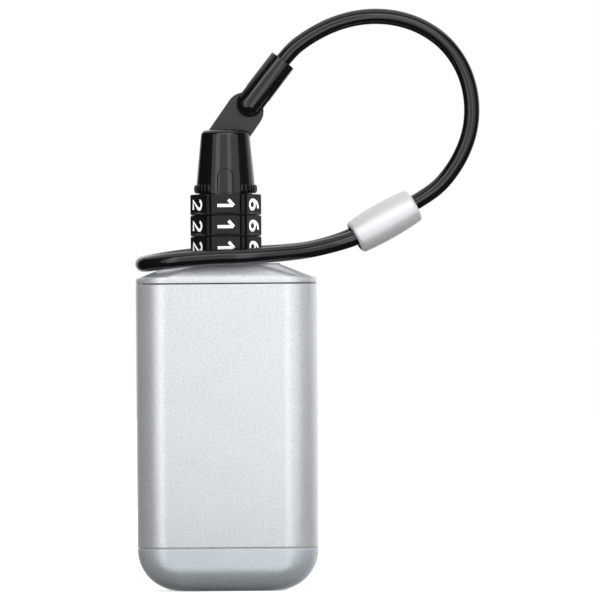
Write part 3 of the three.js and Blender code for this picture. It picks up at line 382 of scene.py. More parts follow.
# Case sleeve: a drawn tube with rounded corners and a floor near its foot, sprayed in a fine silver metallic
# paint. Its edges are broken, and a pocket in each end wall takes the latch.
SILVER = (0.66, 0.685, 0.71)
PAINT = {"grain": 0.65, "bump": 0.02, "tone": 0.26, "rough_spread": 0.06, "coat": 0.1, "stretch": (0.75, 1, 1),
         "slow_share": 0.15}
SMOOTH_ANGLE = 32
BREAK_ANGLE = 35
CORNER_STEPS = 20
CASE_HALF_X = 30
CASE_HALF_Y = 15
CASE_CORNER = 11.5
CASE_SIZE = (CASE_HALF_X, CASE_HALF_Y, CASE_CORNER)
CASE_WALL = 2
CASE_EDGE = 0.35
SLEEVE_BOTTOM = 14.5
SLEEVE_TOP = 101.6
SLEEVE_FLOOR = (17.0, 19.0)
SLEEVE_CHAMFER = 0.2
LATCH_POCKET = (27.0, 29.0, 2.8, 98.9, 100.7)


def make_piece(name, points, faces, smooth_angle=SMOOTH_ANGLE):
    """A mesh object from points in millimetres, merged, with its faces pointing out."""
    mesh = bpy.data.meshes.new(name)
    mesh.from_pydata([[MM * c for c in p] for p in points], [], faces)
    work = bmesh.new()
    work.from_mesh(mesh)
    bmesh.ops.remove_doubles(work, verts=work.verts, dist=1e-7)
    bmesh.ops.recalc_face_normals(work, faces=work.faces)
    work.to_mesh(mesh)
    work.free()
    shade(mesh, smooth_angle)
    return place_object(name, mesh)


def quarter_round(radius, steps=4):
    """How far a rounded edge has come in and how far it has still to rise, from the side to the end face."""
    turns = [math.pi / 2 * i / steps for i in range(steps + 1)]
    return [(radius * (1 - math.cos(t)), radius * (1 - math.sin(t))) for t in turns]


def stack(name, rings, smooth_angle=SMOOTH_ANGLE):
    """A closed skin through rings that have the same number of points, capped at both ends."""
    count = len(rings[0])
    last = (len(rings) - 1) * count
    faces = [(low + i, low + (i + 1) % count, low + count + (i + 1) % count, low + count + i)
             for low in range(0, last, count) for i in range(count)]
    faces += [tuple(range(count))[::-1], tuple(range(last, last + count))]
    return make_piece(name, [point for ring in rings for point in ring], faces, smooth_angle)


def loft(name, sections, steps=CORNER_STEPS):
    """A closed skin through rounded rectangles [half x, half y, corner, height]."""
    rings = []
    for half_x, half_y, corner, height in sections:
        ring = []
        for i in range(4 * (steps + 1)):
            quarter, step = divmod(i, steps + 1)
            turn = (quarter + step / steps) * math.pi / 2
            side_x = 1 if quarter in (0, 3) else -1
            side_y = 1 if quarter < 2 else -1
            ring.append((side_x * (half_x - corner) + corner * math.cos(turn),
                         side_y * (half_y - corner) + corner * math.sin(turn), height))
        rings.append(ring)
    return stack(name, rings)


def drawn_in(size, inset, height):
    """A section of a loft: an outline that is taken in all round, at a height."""
    return (*(s - inset for s in size), height)


def case_loft(name, profile):
    """A loft from a profile of [inset, height] round the case's outline."""
    return loft(name, [drawn_in(CASE_SIZE, *place) for place in profile])


def box_cutter(x, y, z):
    """A block between two values on each axis, to cut with."""
    corners = [(a, b, c) for c in z for b in y for a in x]
    return make_piece("cutter", corners, [(0, 2, 3, 1), (4, 5, 7, 6), (0, 1, 5, 4), (2, 6, 7, 3), (0, 4, 6, 2),
                                          (1, 3, 7, 5)])


def end_cutters(near, far, half_y, low, high):
    """A block at each end of the case, to cut the latch's room with."""
    return [box_cutter((s * near, s * far), (-half_y, half_y), (low, high)) for s in (-1, 1)]


def apply_modifiers(piece):
    """The piece with its modifiers made part of its mesh."""
    mesh = final_mesh(piece)
    piece.modifiers.clear()
    piece.data = mesh
    mesh.name = piece.name
    shade(mesh, SMOOTH_ANGLE)
    return piece


def cut(piece, *cutters):
    """The piece with each cutter's shape taken out of it."""
    for cutter in cutters:
        modifier = piece.modifiers.new("cut", "BOOLEAN")
        modifier.solver = "EXACT"
        modifier.operation = "DIFFERENCE"
        modifier.object = cutter
    apply_modifiers(piece)
    for cutter in cutters:
        bpy.data.objects.remove(cutter)
    return piece


def round_edges(piece, width):
    """The piece with its sharp edges broken."""
    modifier = piece.modifiers.new("edges", "BEVEL")
    modifier.width = width * MM
    modifier.segments = 2
    modifier.limit_method = "ANGLE"
    modifier.angle_limit = math.radians(BREAK_ANGLE)
    modifier.use_clamp_overlap = True
    return apply_modifiers(piece)


silver = finish("silver_paint", SILVER, 0.37, metallic=0.7, **PAINT)
lower_edge = [(i, SLEEVE_BOTTOM + z) for i, z in quarter_round(CASE_EDGE)][::-1]
upper_edge = [(i, SLEEVE_TOP - z) for i, z in quarter_round(CASE_EDGE)]
sleeve = case_loft("case_sleeve", [
    (CASE_WALL, SLEEVE_FLOOR[0]), (CASE_WALL, SLEEVE_BOTTOM), *lower_edge, *upper_edge,
    (CASE_WALL - SLEEVE_CHAMFER, SLEEVE_TOP), (CASE_WALL, SLEEVE_TOP - SLEEVE_CHAMFER),
    (CASE_WALL, SLEEVE_FLOOR[1]),
])
cut(sleeve, *end_cutters(*LATCH_POCKET))
sleeve.data.materials.append(silver)
put(sleeve, "case", "silver_paint", "shell_sleeve")

# Bottom cap: a casting in the same paint, rounded under and at both ends, with a rim that fits up into the
# sleeve. A thin seam stays between the two. Its paint is a darker, bluer copy of the sleeve's, as painted
# shade.
# Painted shade: the sleeve's silver made darker and bluer for the cap.
CAP_PAINTED_SHADE_SILVER = (0.51, 0.555, 0.585)
CAP_HEIGHT = 14.2
CAP_FOOT_HALF_X = 15.7
CAP_FOOT_HALF_Y = 6.8
CAP_SIDE_ROUND = 8.2
CAP_STEPS = 30
CAP_EDGE = 0.3
SEAM_STEP = (0.5, 0.26)
RIM_TOP = 16.4
RIM_INSET = 2.3
RIM_WALL = 1.5

sections = [(CAP_FOOT_HALF_X, CAP_FOOT_HALF_Y, CASE_CORNER * CAP_FOOT_HALF_Y / CASE_HALF_Y, 0)]
for step in range(1, CAP_STEPS + 1):
    turn = step / CAP_STEPS * math.pi / 2
    height = (CAP_HEIGHT - CAP_EDGE) * (1 - math.cos(turn))
    out_x = (CASE_HALF_X - CAP_FOOT_HALF_X) * math.sin(turn)
    rise = min(height / CAP_SIDE_ROUND, 1)
    half_y = CAP_FOOT_HALF_Y + (CASE_HALF_Y - CAP_FOOT_HALF_Y) * math.sqrt(1 - (1 - rise) ** 2)
    sections.append((CAP_FOOT_HALF_X + out_x, half_y, CASE_CORNER * half_y / CASE_HALF_Y, height))
seam_in, seam_height = SEAM_STEP
seam_top = CAP_HEIGHT + seam_height
rim_in = RIM_INSET + RIM_WALL
sections += [drawn_in(CASE_SIZE, *place) for place in (
    *((i, CAP_HEIGHT - z) for i, z in quarter_round(CAP_EDGE)[1:]), (seam_in, CAP_HEIGHT), (seam_in, seam_top),
    (RIM_INSET, seam_top), (RIM_INSET, RIM_TOP), (rim_in, RIM_TOP), (rim_in, CAP_HEIGHT),
)]
cap = loft("case_bottom_cap", sections)
cap.data.materials.append(finish("silver_paint_cap_painted_shade", CAP_PAINTED_SHADE_SILVER, 0.4, metallic=0.65, **PAINT))
put(cap, "case", "silver_paint", "bottom_cap")

# Lid: a casting in the same paint. Over a short upright band the ends slope in to the dials, and the front and
# back are domed. A spigot under it fits the sleeve, slotted at both ends for the latch. A thin black rubber lip
# lies on the sleeve under the band as painted shade for the seam's gap, so the seam shows as a fine black line.
LID_BOTTOM = 101.9
LID_BAND = 1.1
LID_EDGE = 0.2
LID_LEAN = 0.13
LID_BREAK = 0.6
LID_ROUND = (1.4, 0.9)
LID_ROUND_STEPS = 5
LID_DOME_STEPS = 18
LID_DOME_POWER = 1.3
LID_TOP = 108.5
LID_TOP_SIZE = (18, 12.3, 10.2)
LID_TOP_ROUND = 0.5
SPIGOT_INSET = 2.2
SPIGOT_WALL = 1.6
SPIGOT_BOTTOM = 94.4
SPIGOT_CHAMFER = 0.2
LATCH_SLOT = (24.5, 28.5, 2.8, 93.4, 101.7)
SEAL_GROOVE = (100.35, 101.45, 0.7)
SEAM_SHADE_LIP = (0.3, 2.1, 101.64, 101.87)
CUT_PAST = 1

seal_low, seal_high, seal_in = SEAL_GROOVE
spigot_in = SPIGOT_INSET + SPIGOT_WALL
sections = [drawn_in(CASE_SIZE, *place) for place in (
    (spigot_in, LID_BOTTOM), (spigot_in, SPIGOT_BOTTOM), (SPIGOT_INSET + SPIGOT_CHAMFER, SPIGOT_BOTTOM),
    (SPIGOT_INSET, SPIGOT_BOTTOM + SPIGOT_CHAMFER), (SPIGOT_INSET, seal_low),
    (SPIGOT_INSET + seal_in, seal_low), (SPIGOT_INSET + seal_in, seal_high), (SPIGOT_INSET, seal_high),
    (SPIGOT_INSET, LID_BOTTOM),
    *((i, LID_BOTTOM + z) for i, z in quarter_round(LID_EDGE)[::-1]),
)]
dome_height = LID_TOP - LID_TOP_ROUND - LID_BOTTOM - LID_BAND
round_inset, round_height = LID_ROUND
top_x, top_y, top_corner = LID_TOP_SIZE
rises = [round_height * math.sin(math.pi / 2 * i / LID_ROUND_STEPS) for i in range(LID_ROUND_STEPS + 1)]
rises += [LID_BREAK + (dome_height - LID_BREAK) * (i / LID_DOME_STEPS) ** LID_DOME_POWER
          for i in range(LID_DOME_STEPS + 1)]
for rise in rises:
    inset = round_inset * (1 - math.sqrt(1 - min(rise / round_height, 1) ** 2))
    slope = max((rise - round_height) / (dome_height - round_height), 0)
    half_x, corner = CASE_HALF_X - inset, CASE_CORNER - inset
    half_y = CASE_HALF_Y - LID_LEAN * (LID_BAND - LID_EDGE + min(rise, LID_BREAK))
    half_y += (top_y - half_y) * (max(rise - LID_BREAK, 0) / (dome_height - LID_BREAK)) ** LID_DOME_POWER
    sections.append((half_x + (top_x - half_x) * slope, half_y, corner + (top_corner - corner) * slope,
                     LID_BOTTOM + LID_BAND + rise))
sections += [drawn_in(LID_TOP_SIZE, i, LID_TOP - z) for i, z in quarter_round(LID_TOP_ROUND)[1:]]
lid = loft("lid_casting", sections)
cut(lid, *end_cutters(*LATCH_SLOT))
lid.data.materials.append(silver)
put(lid, "lid", "silver_paint", "lid")

seal_rubber = finish("seal_rubber", (0.02, 0.02, 0.02), 0.75, grain=0.4, bump=0.02, tone=0.15)
# The lip is painted shade: a black sheet in the seam's gap, so that the gap reads dark.
lip_out, lip_in, lip_low, lip_high = SEAM_SHADE_LIP
lip = cut(case_loft("seam_shade_lip", [(lip_out, lip_low), (lip_out, lip_high)]),
          case_loft("inside", [(lip_in, lip_low - CUT_PAST), (lip_in, lip_high + CUT_PAST)]))
lip.data.materials.append(seal_rubber)
put(lip, "lid", "seal_rubber")

# Base ring: a plain black turned moulding between the lid and the lowest dial. Its upper edge is rounded, and
# it stays still while the dials turn.
DIAL_BLACK = (0.006, 0.006, 0.007)
BASE_RING = (4.6, 11.5, 108.5, 110.25)
BASE_RING_EDGE = 0.35


def round_faces(turns, count, closed):
    """The faces between profiles that stand all round an axis, each of a count of points."""
    return [(i * count + j, i * count + (j + 1) % count, (i + 1) % turns * count + (j + 1) % count,
             (i + 1) % turns * count + j) for i in range(turns) for j in range(count if closed else count - 1)]


def turn_piece(name, profile, sides=96):
    """A piece turned round the upright axis from [radius, height]. It starts and ends there, or closes."""
    turns = [2 * math.pi * i / sides for i in range(sides)]
    points = [(radius * math.cos(t), radius * math.sin(t), height) for t in turns for radius, height in profile]
    return make_piece(name, points, round_faces(sides, len(profile), profile[0][0] > 0))


satin_black = finish("dial_black", DIAL_BLACK, 0.3, grain=0.5, bump=0.008, tone=0.12, rough_spread=0.07,
                     specular=0.36)
bore, radius, low, high = BASE_RING
edge = [(radius - i, high - z) for i, z in quarter_round(BASE_RING_EDGE)]
base = turn_piece("base_ring_moulding", [(bore, low), (radius, low), *edge, (bore, high)])
base.data.materials.append(satin_black)
put(base, "lid", "tray_plastic", "base_ring")

# Dials: three black moulded rings with six flat number faces each and a fine rib between each two. The
# numbers are printed in white, lying on their sides, so they read when the safe hangs sideways.
DIAL_RADIUS = 11.75
DIAL_HEIGHT = 6.9
DIAL_BOTTOMS = {1: 124.35, 2: 117.35, 3: 110.35}
DIAL_FACE_APART = 60
DIAL_FACE_ANGLE = 23
DIAL_FACE_STEPS = 9
DIAL_RIB_ANGLE = 3.2
DIAL_SLOPE_ANGLE = 1.2
DIAL_GROOVE = 0.75
DIAL_FOOT_RISE = 0.62
DIAL_FOOT_OVER = 0.25
DIAL_FOOT_STEPS = 10
DIAL_CHAMFER = 0.45
DIAL_TOUCH = (10.6, 0.045)
DIAL_BORE = 7.5
DIAL_LIP = (6.2, 0.8)
DIAL_SMOOTH_ANGLE = 20
NUMBER_HEIGHT = 5.4
NUMBER_STROKE = 0.52
NUMBER_SIDES = 10
NUMBER_THICKNESS_SHARE = 0.12
NUMBER_LIFT = 0.01
NUMBER_WHITE = (0.93, 0.93, 0.92)


def bow(x, y, reach_x, reach_y, start, end, count=14):
    """Points on a part of an oval, from one angle to another."""
    turns = [math.radians(start + (end - start) * i / count) for i in range(count + 1)]
    return [(x + reach_x * math.cos(t), y + reach_y * math.sin(t)) for t in turns]


STROKES = {
    1: [[(-0.31, 0.68), (0.06, 1)], [(0.05, 0.97), (0.05, 0)]],
    2: [[*bow(0, 0.72, 0.26, 0.28, 165, -35), (-0.27, 0), (0.29, 0)]],
    3: [bow(-0.02, 0.75, 0.24, 0.25, 150, -85), bow(-0.02, 0.26, 0.28, 0.26, 85, -150)],
    4: [[(0.13, 0), (0.13, 1), (-0.29, 0.3), (0.3, 0.3)]],
    5: [[(0.25, 1), (-0.19, 1), (-0.23, 0.52), *bow(0, 0.32, 0.28, 0.32, 125, -145)]],
    6: [bow(0, 0.3, 0.27, 0.3, 0, 360, 24), bow(0.16, 0.36, 0.43, 0.62, 180, 80)],
}


def dial_columns():
    """Each angle of the dial's outline, from the middle of the front face round, with its radius."""
    flat = DIAL_RADIUS * math.cos(math.radians(DIAL_FACE_ANGLE))
    low = DIAL_RADIUS - DIAL_GROOVE
    foot = DIAL_RIB_ANGLE + DIAL_SLOPE_ANGLE
    end = DIAL_FACE_ANGLE + DIAL_SLOPE_ANGLE
    outline = []
    rib = DIAL_FACE_APART / 2
    for middle in range(0, 360, DIAL_FACE_APART):
        for step in range(-DIAL_FACE_STEPS, DIAL_FACE_STEPS + 1):
            angle = DIAL_FACE_ANGLE * step / DIAL_FACE_STEPS
            outline.append((middle + angle, flat / math.cos(math.radians(angle))))
        for angle, radius in ((end, low), (rib - foot, low), (rib - DIAL_RIB_ANGLE, DIAL_RADIUS),
                              (rib, DIAL_RADIUS), (rib + DIAL_RIB_ANGLE, DIAL_RADIUS), (rib + foot, low),
                              (DIAL_FACE_APART - end, low)):
            outline.append((middle + angle, radius))
    return outline


def dial_ring(name, bottom):
    """One dial. A turned chamfer takes its corners off, and each flat face runs out at its foot in a slope, so
    that it ends there in an arch. A low ring at each end keeps the dials from rubbing on their edges."""
    edge = quarter_round(DIAL_CHAMFER, 3)
    touch, touch_height = DIAL_TOUCH
    levels = [(touch, touch, -touch_height), (touch, touch, 0)]
    levels += [(DIAL_RADIUS - i, DIAL_RADIUS - i, z) for i, z in edge[::-1]]
    for step in range(1, DIAL_FOOT_STEPS + 1):
        down = (DIAL_GROOVE + DIAL_FOOT_OVER) * step / DIAL_FOOT_STEPS
        levels.append((DIAL_RADIUS - down, DIAL_RADIUS, DIAL_CHAMFER + down * DIAL_FOOT_RISE))
    levels += [(0, DIAL_RADIUS - i, DIAL_HEIGHT - z) for i, z in edge]
    levels += [(touch, touch, DIAL_HEIGHT), (touch, touch, DIAL_HEIGHT + touch_height)]
    lip, lip_height = DIAL_LIP
    for out, z in ((DIAL_BORE, DIAL_HEIGHT + touch_height), (DIAL_BORE, lip_height), (lip, lip_height),
                   (lip, -touch_height)):
        levels.append((out, out, z))
    outline = dial_columns()
    points = []
    for angle, radius in outline:
        turn = math.radians(angle - 90)
        for least, most, z in levels:
            out = min(max(radius, least), most)
            points.append((out * math.cos(turn), out * math.sin(turn), bottom + z))
    return make_piece(name, points, round_faces(len(outline), len(levels), True), DIAL_SMOOTH_ANGLE)


number_white = finish("number_white", NUMBER_WHITE, 0.4, grain=0.2, bump=0.004, tone=0.03)
print_tree, given = node_group("printed_stroke", {"Stroke": "Float", "Flatness": "Float"})
ring, sweep = swept_ring(print_tree, given, "Stroke")
ring.inputs["Resolution"].default_value = NUMBER_SIDES
flatten = print_tree.nodes.new("ShaderNodeCombineXYZ")
flatten.inputs["X"].default_value = 1
flatten.inputs["Y"].default_value = 1
press = print_tree.nodes.new("GeometryNodeTransform")
wire(print_tree, (sweep, "Mesh", press, "Geometry"), (given, "Flatness", flatten, "Z"),
     (flatten, "Vector", press, "Scale"))
close_tree(print_tree, given, press, "Geometry")

printed = {}
for number, strokes in STROKES.items():
    lines = [[(x * NUMBER_HEIGHT * MM, (y - 0.5) * NUMBER_HEIGHT * MM, 0) for x, y in stroke]
             for stroke in strokes]
    made = grow("number", drawn_lines("stroke", lines), print_tree,
                {"Stroke": NUMBER_STROKE * MM, "Flatness": NUMBER_THICKNESS_SHARE, "Material": number_white},
                smooth_angle=60)
    printed[number] = made.data
    bpy.data.objects.remove(made)

for dial, bottom in DIAL_BOTTOMS.items():
    ring = dial_ring(f"dial_{dial}_ring", bottom)
    ring.data.materials.append(satin_black)
    put(ring, f"dial_{dial}", "dial_black", f"dial_ring_{dial}")
    numbers = bmesh.new()
    out = DIAL_RADIUS * math.cos(math.radians(DIAL_FACE_ANGLE)) + NUMBER_LIFT
    for number, mesh in printed.items():
        turn = math.radians(-DIAL_FACE_APART * (number - 1))
        side = Vector((math.sin(turn), -math.cos(turn), 0))
        up = Vector((math.cos(turn), math.sin(turn), 0))
        place = Matrix((Vector((0, 0, -1)), up, side)).transposed().to_4x4()
        place.translation = (side * out + Vector((0, 0, bottom + DIAL_HEIGHT / 2))) * MM
        laid = mesh.copy()
        laid.transform(place)
        numbers.from_mesh(laid)
        bpy.data.meshes.remove(laid)
    mesh = bpy.data.meshes.new(f"dial_{dial}_numbers")
    numbers.to_mesh(mesh)
    numbers.free()
    mesh.materials.append(number_white)
    mesh.shade_smooth()
    put(place_object(f"dial_{dial}_numbers", mesh), f"dial_{dial}", "digit_white")

# Plug head: a gloss black moulded cone with ribs to grip it by at both sides of its foot. A fine arch is cut in
# its front, and its top is forked for the link.
PLUG_BLACK = (0.004, 0.0043, 0.005)
PLUG_BOTTOM = 131.6
PLUG_TOP = 152.8
PLUG_BREAK = 0.12
PLUG_SIDES = 180
SEAT_STEP = (9.0, 0.29)
FOOT_EDGE = 0.12
GRIP_RADIUS = 10.55
GRIP_TOP = 134.6
GRIP_BOW = 0.6
RIB_DEPTH = 0.6
RIB_PITCH = 8.8
RIB_WIDTH = 5.6
RIB_COUNT = 14
RIB_STEPS = 8
RIB_PLAY = 0.02
RIB_SHORTER = 0.3
RIB_ROOT = 0.6
RIB_SMOOTH_ANGLE = 40
CONE_FOOT = 9.7
CONE_STEPS = 24
CONE_TOP = 8.2
CROWN = (3.5, 0.06)
SHOULDER = 150.8
SHOULDER_ROUND = 1.8
RECESS = (7.4, 134.3)
SPINDLE_SEAT = (2.7, 140.9)
SLOT_HALF = 1.45
SLOT_FLOOR = 142.85
SLOT_CUT_TOP = 155
PIVOT_HEIGHT = 149.5
PIVOT_RADIUS = 1.25
PIVOT_BORE_END = -4.9
PIN_PLAY = 0.1
CROSS_PIN = (137.7, 0.9)
CROSS_BORE_START = 2
CUT_REACH = 12
ARCH_HALF = 2.7
ARCH_TOP = 139.9
ARCH_LINE = 0.6
ARCH_DEPTH = 0.6
ARCH_CUT_END = -2
ARCH_CORE_FOOT = 120


def cone_profile(inset=0.0):
    """The smooth outside of the plug head from its foot up to the axis. The cone runs down between the ribs."""
    spread = (CONE_FOOT - CONE_TOP) / (SHOULDER - GRIP_TOP)
    profile = []
    for step in range(CONE_STEPS + 1):
        height = PLUG_BOTTOM + FOOT_EDGE + (SHOULDER - PLUG_BOTTOM - FOOT_EDGE) * step / CONE_STEPS
        profile.append((CONE_TOP + spread * (SHOULDER - height) - inset, height))
    for come_in, down in quarter_round(SHOULDER_ROUND, 6)[1:]:
        profile.append((CONE_TOP - come_in - inset, SHOULDER + SHOULDER_ROUND - down))
    return [*profile, (CROWN[0], PLUG_TOP - CROWN[1]), (0, PLUG_TOP)]


def prism(name, outline, back, front):
    """A solid from an outline in x and z, between two places along y."""
    count = len(outline)
    points = [(x, y, z) for y in (back, front) for x, z in outline]
    faces = [tuple(range(count)), tuple(range(count, 2 * count))[::-1]]
    faces += [(i, (i + 1) % count, count + (i + 1) % count, count + i) for i in range(count)]
    return make_piece(name, points, faces)


def lying_bar(radius, x, z, back, front, sides=32):
    """A round bar along y."""
    turns = [2 * math.pi * i / sides for i in range(sides)]
    return prism("bar", [(x + radius * math.cos(t), z + radius * math.sin(t)) for t in turns], back, front)


def arch(inset):
    """The arch's outline, its foot below the grip."""
    half, top = ARCH_HALF - inset, ARCH_TOP - inset
    foot = PLUG_BOTTOM - CUT_PAST - inset
    return [(-half, foot), (half, foot), *((x, z) for x, z in bow(0, top - half, half, half, 0, 180, 24))]


gloss = finish("gloss_black", PLUG_BLACK, 0.13, grain=0.8, bump=0.006, tone=0.1, rough_spread=0.04, coat=0.3)
recess_radius, recess_top = RECESS
seat_radius, seat_top = SPINDLE_SEAT
step_radius, step_height = SEAT_STEP
cone = cone_profile()
foot_radius = cone[0][0]
plug = turn_piece("plug_head_moulding", [
    (0, seat_top), (seat_radius, seat_top), (seat_radius, recess_top), (recess_radius, recess_top),
    (recess_radius, PLUG_BOTTOM - step_height), (step_radius, PLUG_BOTTOM - step_height),
    (step_radius, PLUG_BOTTOM), (foot_radius - FOOT_EDGE, PLUG_BOTTOM), *cone,
], sides=PLUG_SIDES)
core = [(0, ARCH_CORE_FOOT), (foot_radius - ARCH_DEPTH, ARCH_CORE_FOOT), *cone_profile(ARCH_DEPTH)]
arch_cutter = cut(prism("arch", arch(0), -CUT_REACH, ARCH_CUT_END),
                  prism("arch_inside", arch(ARCH_LINE), -CUT_REACH - CUT_PAST, ARCH_CUT_END + CUT_PAST),
                  turn_piece("core", core, sides=90))
cut(plug, arch_cutter, box_cutter((-CUT_REACH, CUT_REACH), (-SLOT_HALF, SLOT_HALF), (SLOT_FLOOR, SLOT_CUT_TOP)),
    lying_bar(PIVOT_RADIUS + PIN_PLAY, 0, PIVOT_HEIGHT, PIVOT_BORE_END, CUT_REACH),
    lying_bar(CROSS_PIN[1] + PIN_PLAY, 0, CROSS_PIN[0], CROSS_BORE_START, CUT_REACH))
round_edges(plug, PLUG_BREAK)
plug.data.materials.append(gloss)
put(plug, "plug", "gloss_black", "plug_head")

rib_shape = []
for i in range(RIB_STEPS + 1):
    across = 2 * i / RIB_STEPS - 1
    rib_shape.append((math.radians(RIB_WIDTH * across / 2), math.sqrt(1 - across ** 4)))
rings = []
for i in range(RIB_STEPS + 1):
    height = PLUG_BOTTOM + FOOT_EDGE + (GRIP_TOP - PLUG_BOTTOM - RIB_SHORTER) * i / RIB_STEPS
    bulge = 2 * (height - PLUG_BOTTOM) / (GRIP_TOP - PLUG_BOTTOM) - 1
    crest = GRIP_RADIUS - GRIP_BOW * abs(bulge) ** 3
    places = [(turn, crest - RIB_DEPTH * (1 - share) - RIB_PLAY) for turn, share in rib_shape]
    places += [(turn, CONE_FOOT - RIB_ROOT) for turn, share in rib_shape[::-1]]
    rings.append([(out * math.cos(turn), out * math.sin(turn), height) for turn, out in places])
rib = stack("rib", rings, RIB_SMOOTH_ANGLE)

rib_tree, given = node_group("grip_ribs", {"Ribs each side": "Int", "Pitch": "Float"})
both_sides = math_node(rib_tree, "MULTIPLY", None, 2)
spots = rib_tree.nodes.new("GeometryNodePoints")
number = rib_tree.nodes.new("GeometryNodeInputIndex")
wrapped = math_node(rib_tree, "MODULO")
side = math_node(rib_tree, "DIVIDE")
whole = math_node(rib_tree, "FLOOR")
middle = math_node(rib_tree, "MULTIPLY_ADD", None, -0.5, 0.5)
offset = math_node(rib_tree, "ADD")
spread = math_node(rib_tree, "MULTIPLY")
half_turn = math_node(rib_tree, "MULTIPLY_ADD", None, math.pi)
turn = rib_tree.nodes.new("ShaderNodeCombineXYZ")
instances = rib_tree.nodes.new("GeometryNodeInstanceOnPoints")
wire(rib_tree, (given, "Ribs each side", both_sides, 0), (both_sides, "Value", spots, "Count"),
     (number, "Index", wrapped, 0), (given, "Ribs each side", wrapped, 1), (number, "Index", side, 0),
     (given, "Ribs each side", side, 1), (side, "Value", whole, 0), (given, "Ribs each side", middle, 0),
     (wrapped, "Value", offset, 0), (middle, "Value", offset, 1), (offset, "Value", spread, 0),
     (given, "Pitch", spread, 1), (whole, "Value", half_turn, 0), (spread, "Value", half_turn, 2),
     (half_turn, "Value", turn, "Z"), (spots, "Points", instances, "Points"),
     (given, "Geometry", instances, "Instance"), (turn, "Vector", instances, "Rotation"))
close_tree(rib_tree, given, instances, "Instances")
ribs = grow("plug_grip_ribs", rib, rib_tree,
            {"Ribs each side": RIB_COUNT, "Pitch": math.radians(RIB_PITCH), "Material": gloss},
            RIB_SMOOTH_ANGLE)
put(ribs, "plug", "gloss_black")

# Link: a flat satin black strip with round ends and broken edges. It turns on a steel pin in the plug head's
# fork, and the cable's terminal is riveted to its other end.
LINK_GREY = (0.019, 0.0202, 0.0215)
LINK_HALF = 1.25
LINK_RADIUS = 6.25
LINK_LENGTH = 11.4
LINK_EDGE = 0.28
LINK_END_STEPS = 32
LINK_LEAN = math.radians(35)
LINK_CUT = 3
RIVET_REACH = 14.3
RIVET_HOLE = 1.4

link_grey = finish("link_satin", LINK_GREY, 0.5, grain=0.5, bump=0.012, tone=0.08, rough_spread=0.06)
link_place = Matrix.Translation((0, 0, PIVOT_HEIGHT * MM)) @ Matrix.Rotation(LINK_LEAN, 4, "Y")
rings = []
edge = quarter_round(LINK_EDGE)
for inset, y in [(i, z - LINK_HALF) for i, z in edge[::-1]] + [(i, LINK_HALF - z) for i, z in edge]:
    radius = LINK_RADIUS - inset
    rings.append([(x, y, z) for x, z in (*bow(0, LINK_LENGTH, radius, radius, 0, 180, LINK_END_STEPS),
                                         *bow(0, 0, radius, radius, 180, 360, LINK_END_STEPS))])
link = stack("link_strip", rings)
cut(link, lying_bar(PIVOT_RADIUS + PIN_PLAY, 0, 0, -LINK_CUT, LINK_CUT),
    lying_bar(RIVET_HOLE, 0, RIVET_REACH, -LINK_CUT, LINK_CUT))
link.data.transform(link_place)
link.data.materials.append(link_grey)
put(link, "link", "satin_black", "link_plate")

# Cable terminal: a gloss black sleeve swaged on the cable. Its forked end is round and holds the link on a
# rivet that is closed flush.
TERMINAL_RADIUS = 4.65
TERMINAL_END = 4.55
TERMINAL_LENGTH = 18.2
TERMINAL_BORE = (2.8, 7.2)
TERMINAL_FLARE = (0.6, 1.2)
TERMINAL_EDGE = 0.35
TERMINAL_BREAK = 0.15
TERMINAL_LEAN = math.radians(2.7)
TERMINAL_FORK = 4.4
TERMINAL_CUT = 6

terminal_place = (link_place @ Matrix.Translation((0, 0, RIVET_REACH * MM))
                  @ Matrix.Rotation(TERMINAL_LEAN, 4, "Y"))
bore, bore_bottom = TERMINAL_BORE
flare, flare_depth = TERMINAL_FLARE
terminal = turn_piece("cable_terminal_sleeve", [
    (0, bore_bottom), (bore, bore_bottom), (bore, TERMINAL_LENGTH - flare_depth),
    (bore + flare, TERMINAL_LENGTH),
    *((TERMINAL_END - i, TERMINAL_LENGTH - z) for i, z in quarter_round(TERMINAL_EDGE)[::-1]),
    *((TERMINAL_RADIUS * x, TERMINAL_RADIUS * z) for x, z in bow(0, 0, 1, 1, 0, -90, 20)[:-1]),
    (0, -TERMINAL_RADIUS),
])
cut(terminal, box_cutter((-TERMINAL_CUT, TERMINAL_CUT), (-SLOT_HALF, SLOT_HALF),
                         (-TERMINAL_CUT, TERMINAL_FORK)))
round_edges(terminal, TERMINAL_BREAK)
terminal.data.transform(terminal_place)
terminal.data.materials.append(gloss)
put(terminal, "link", "gloss_black", "cable_terminal")

# Ferrule: a barrel of satin aluminium, pressed on both runs of the cable, side by side. It is fullest in the
# middle, and its ends are rounded over.
FERRULE_ALLOY = (0.8, 0.815, 0.83)
FERRULE_LENGTH = 22.7
FERRULE_HALF = (5.95, 5.4)
FERRULE_DEPTH = (7.2, 6.7)
FERRULE_FLAT = 0.35
FERRULE_EDGE = 1.2
FERRULE_STEPS = 12
FERRULE_CORNER_STEPS = 16
FERRULE_PLACE = (52.6, 0, 122.0)
FERRULE_RISE = math.radians(29)
FERRULE_YAW = math.radians(6)
FERRULE_ROLL = math.radians(8)
FERRULE_BORE = 2.8
FERRULE_BORE_Y = 3
FERRULE_BORE_CUT = 12
FERRULE_MOUTH = (1.1, 1.5)
FERRULE_MOUTH_FLAT = 0.2
FERRULE_MOUTH_CUT = 2

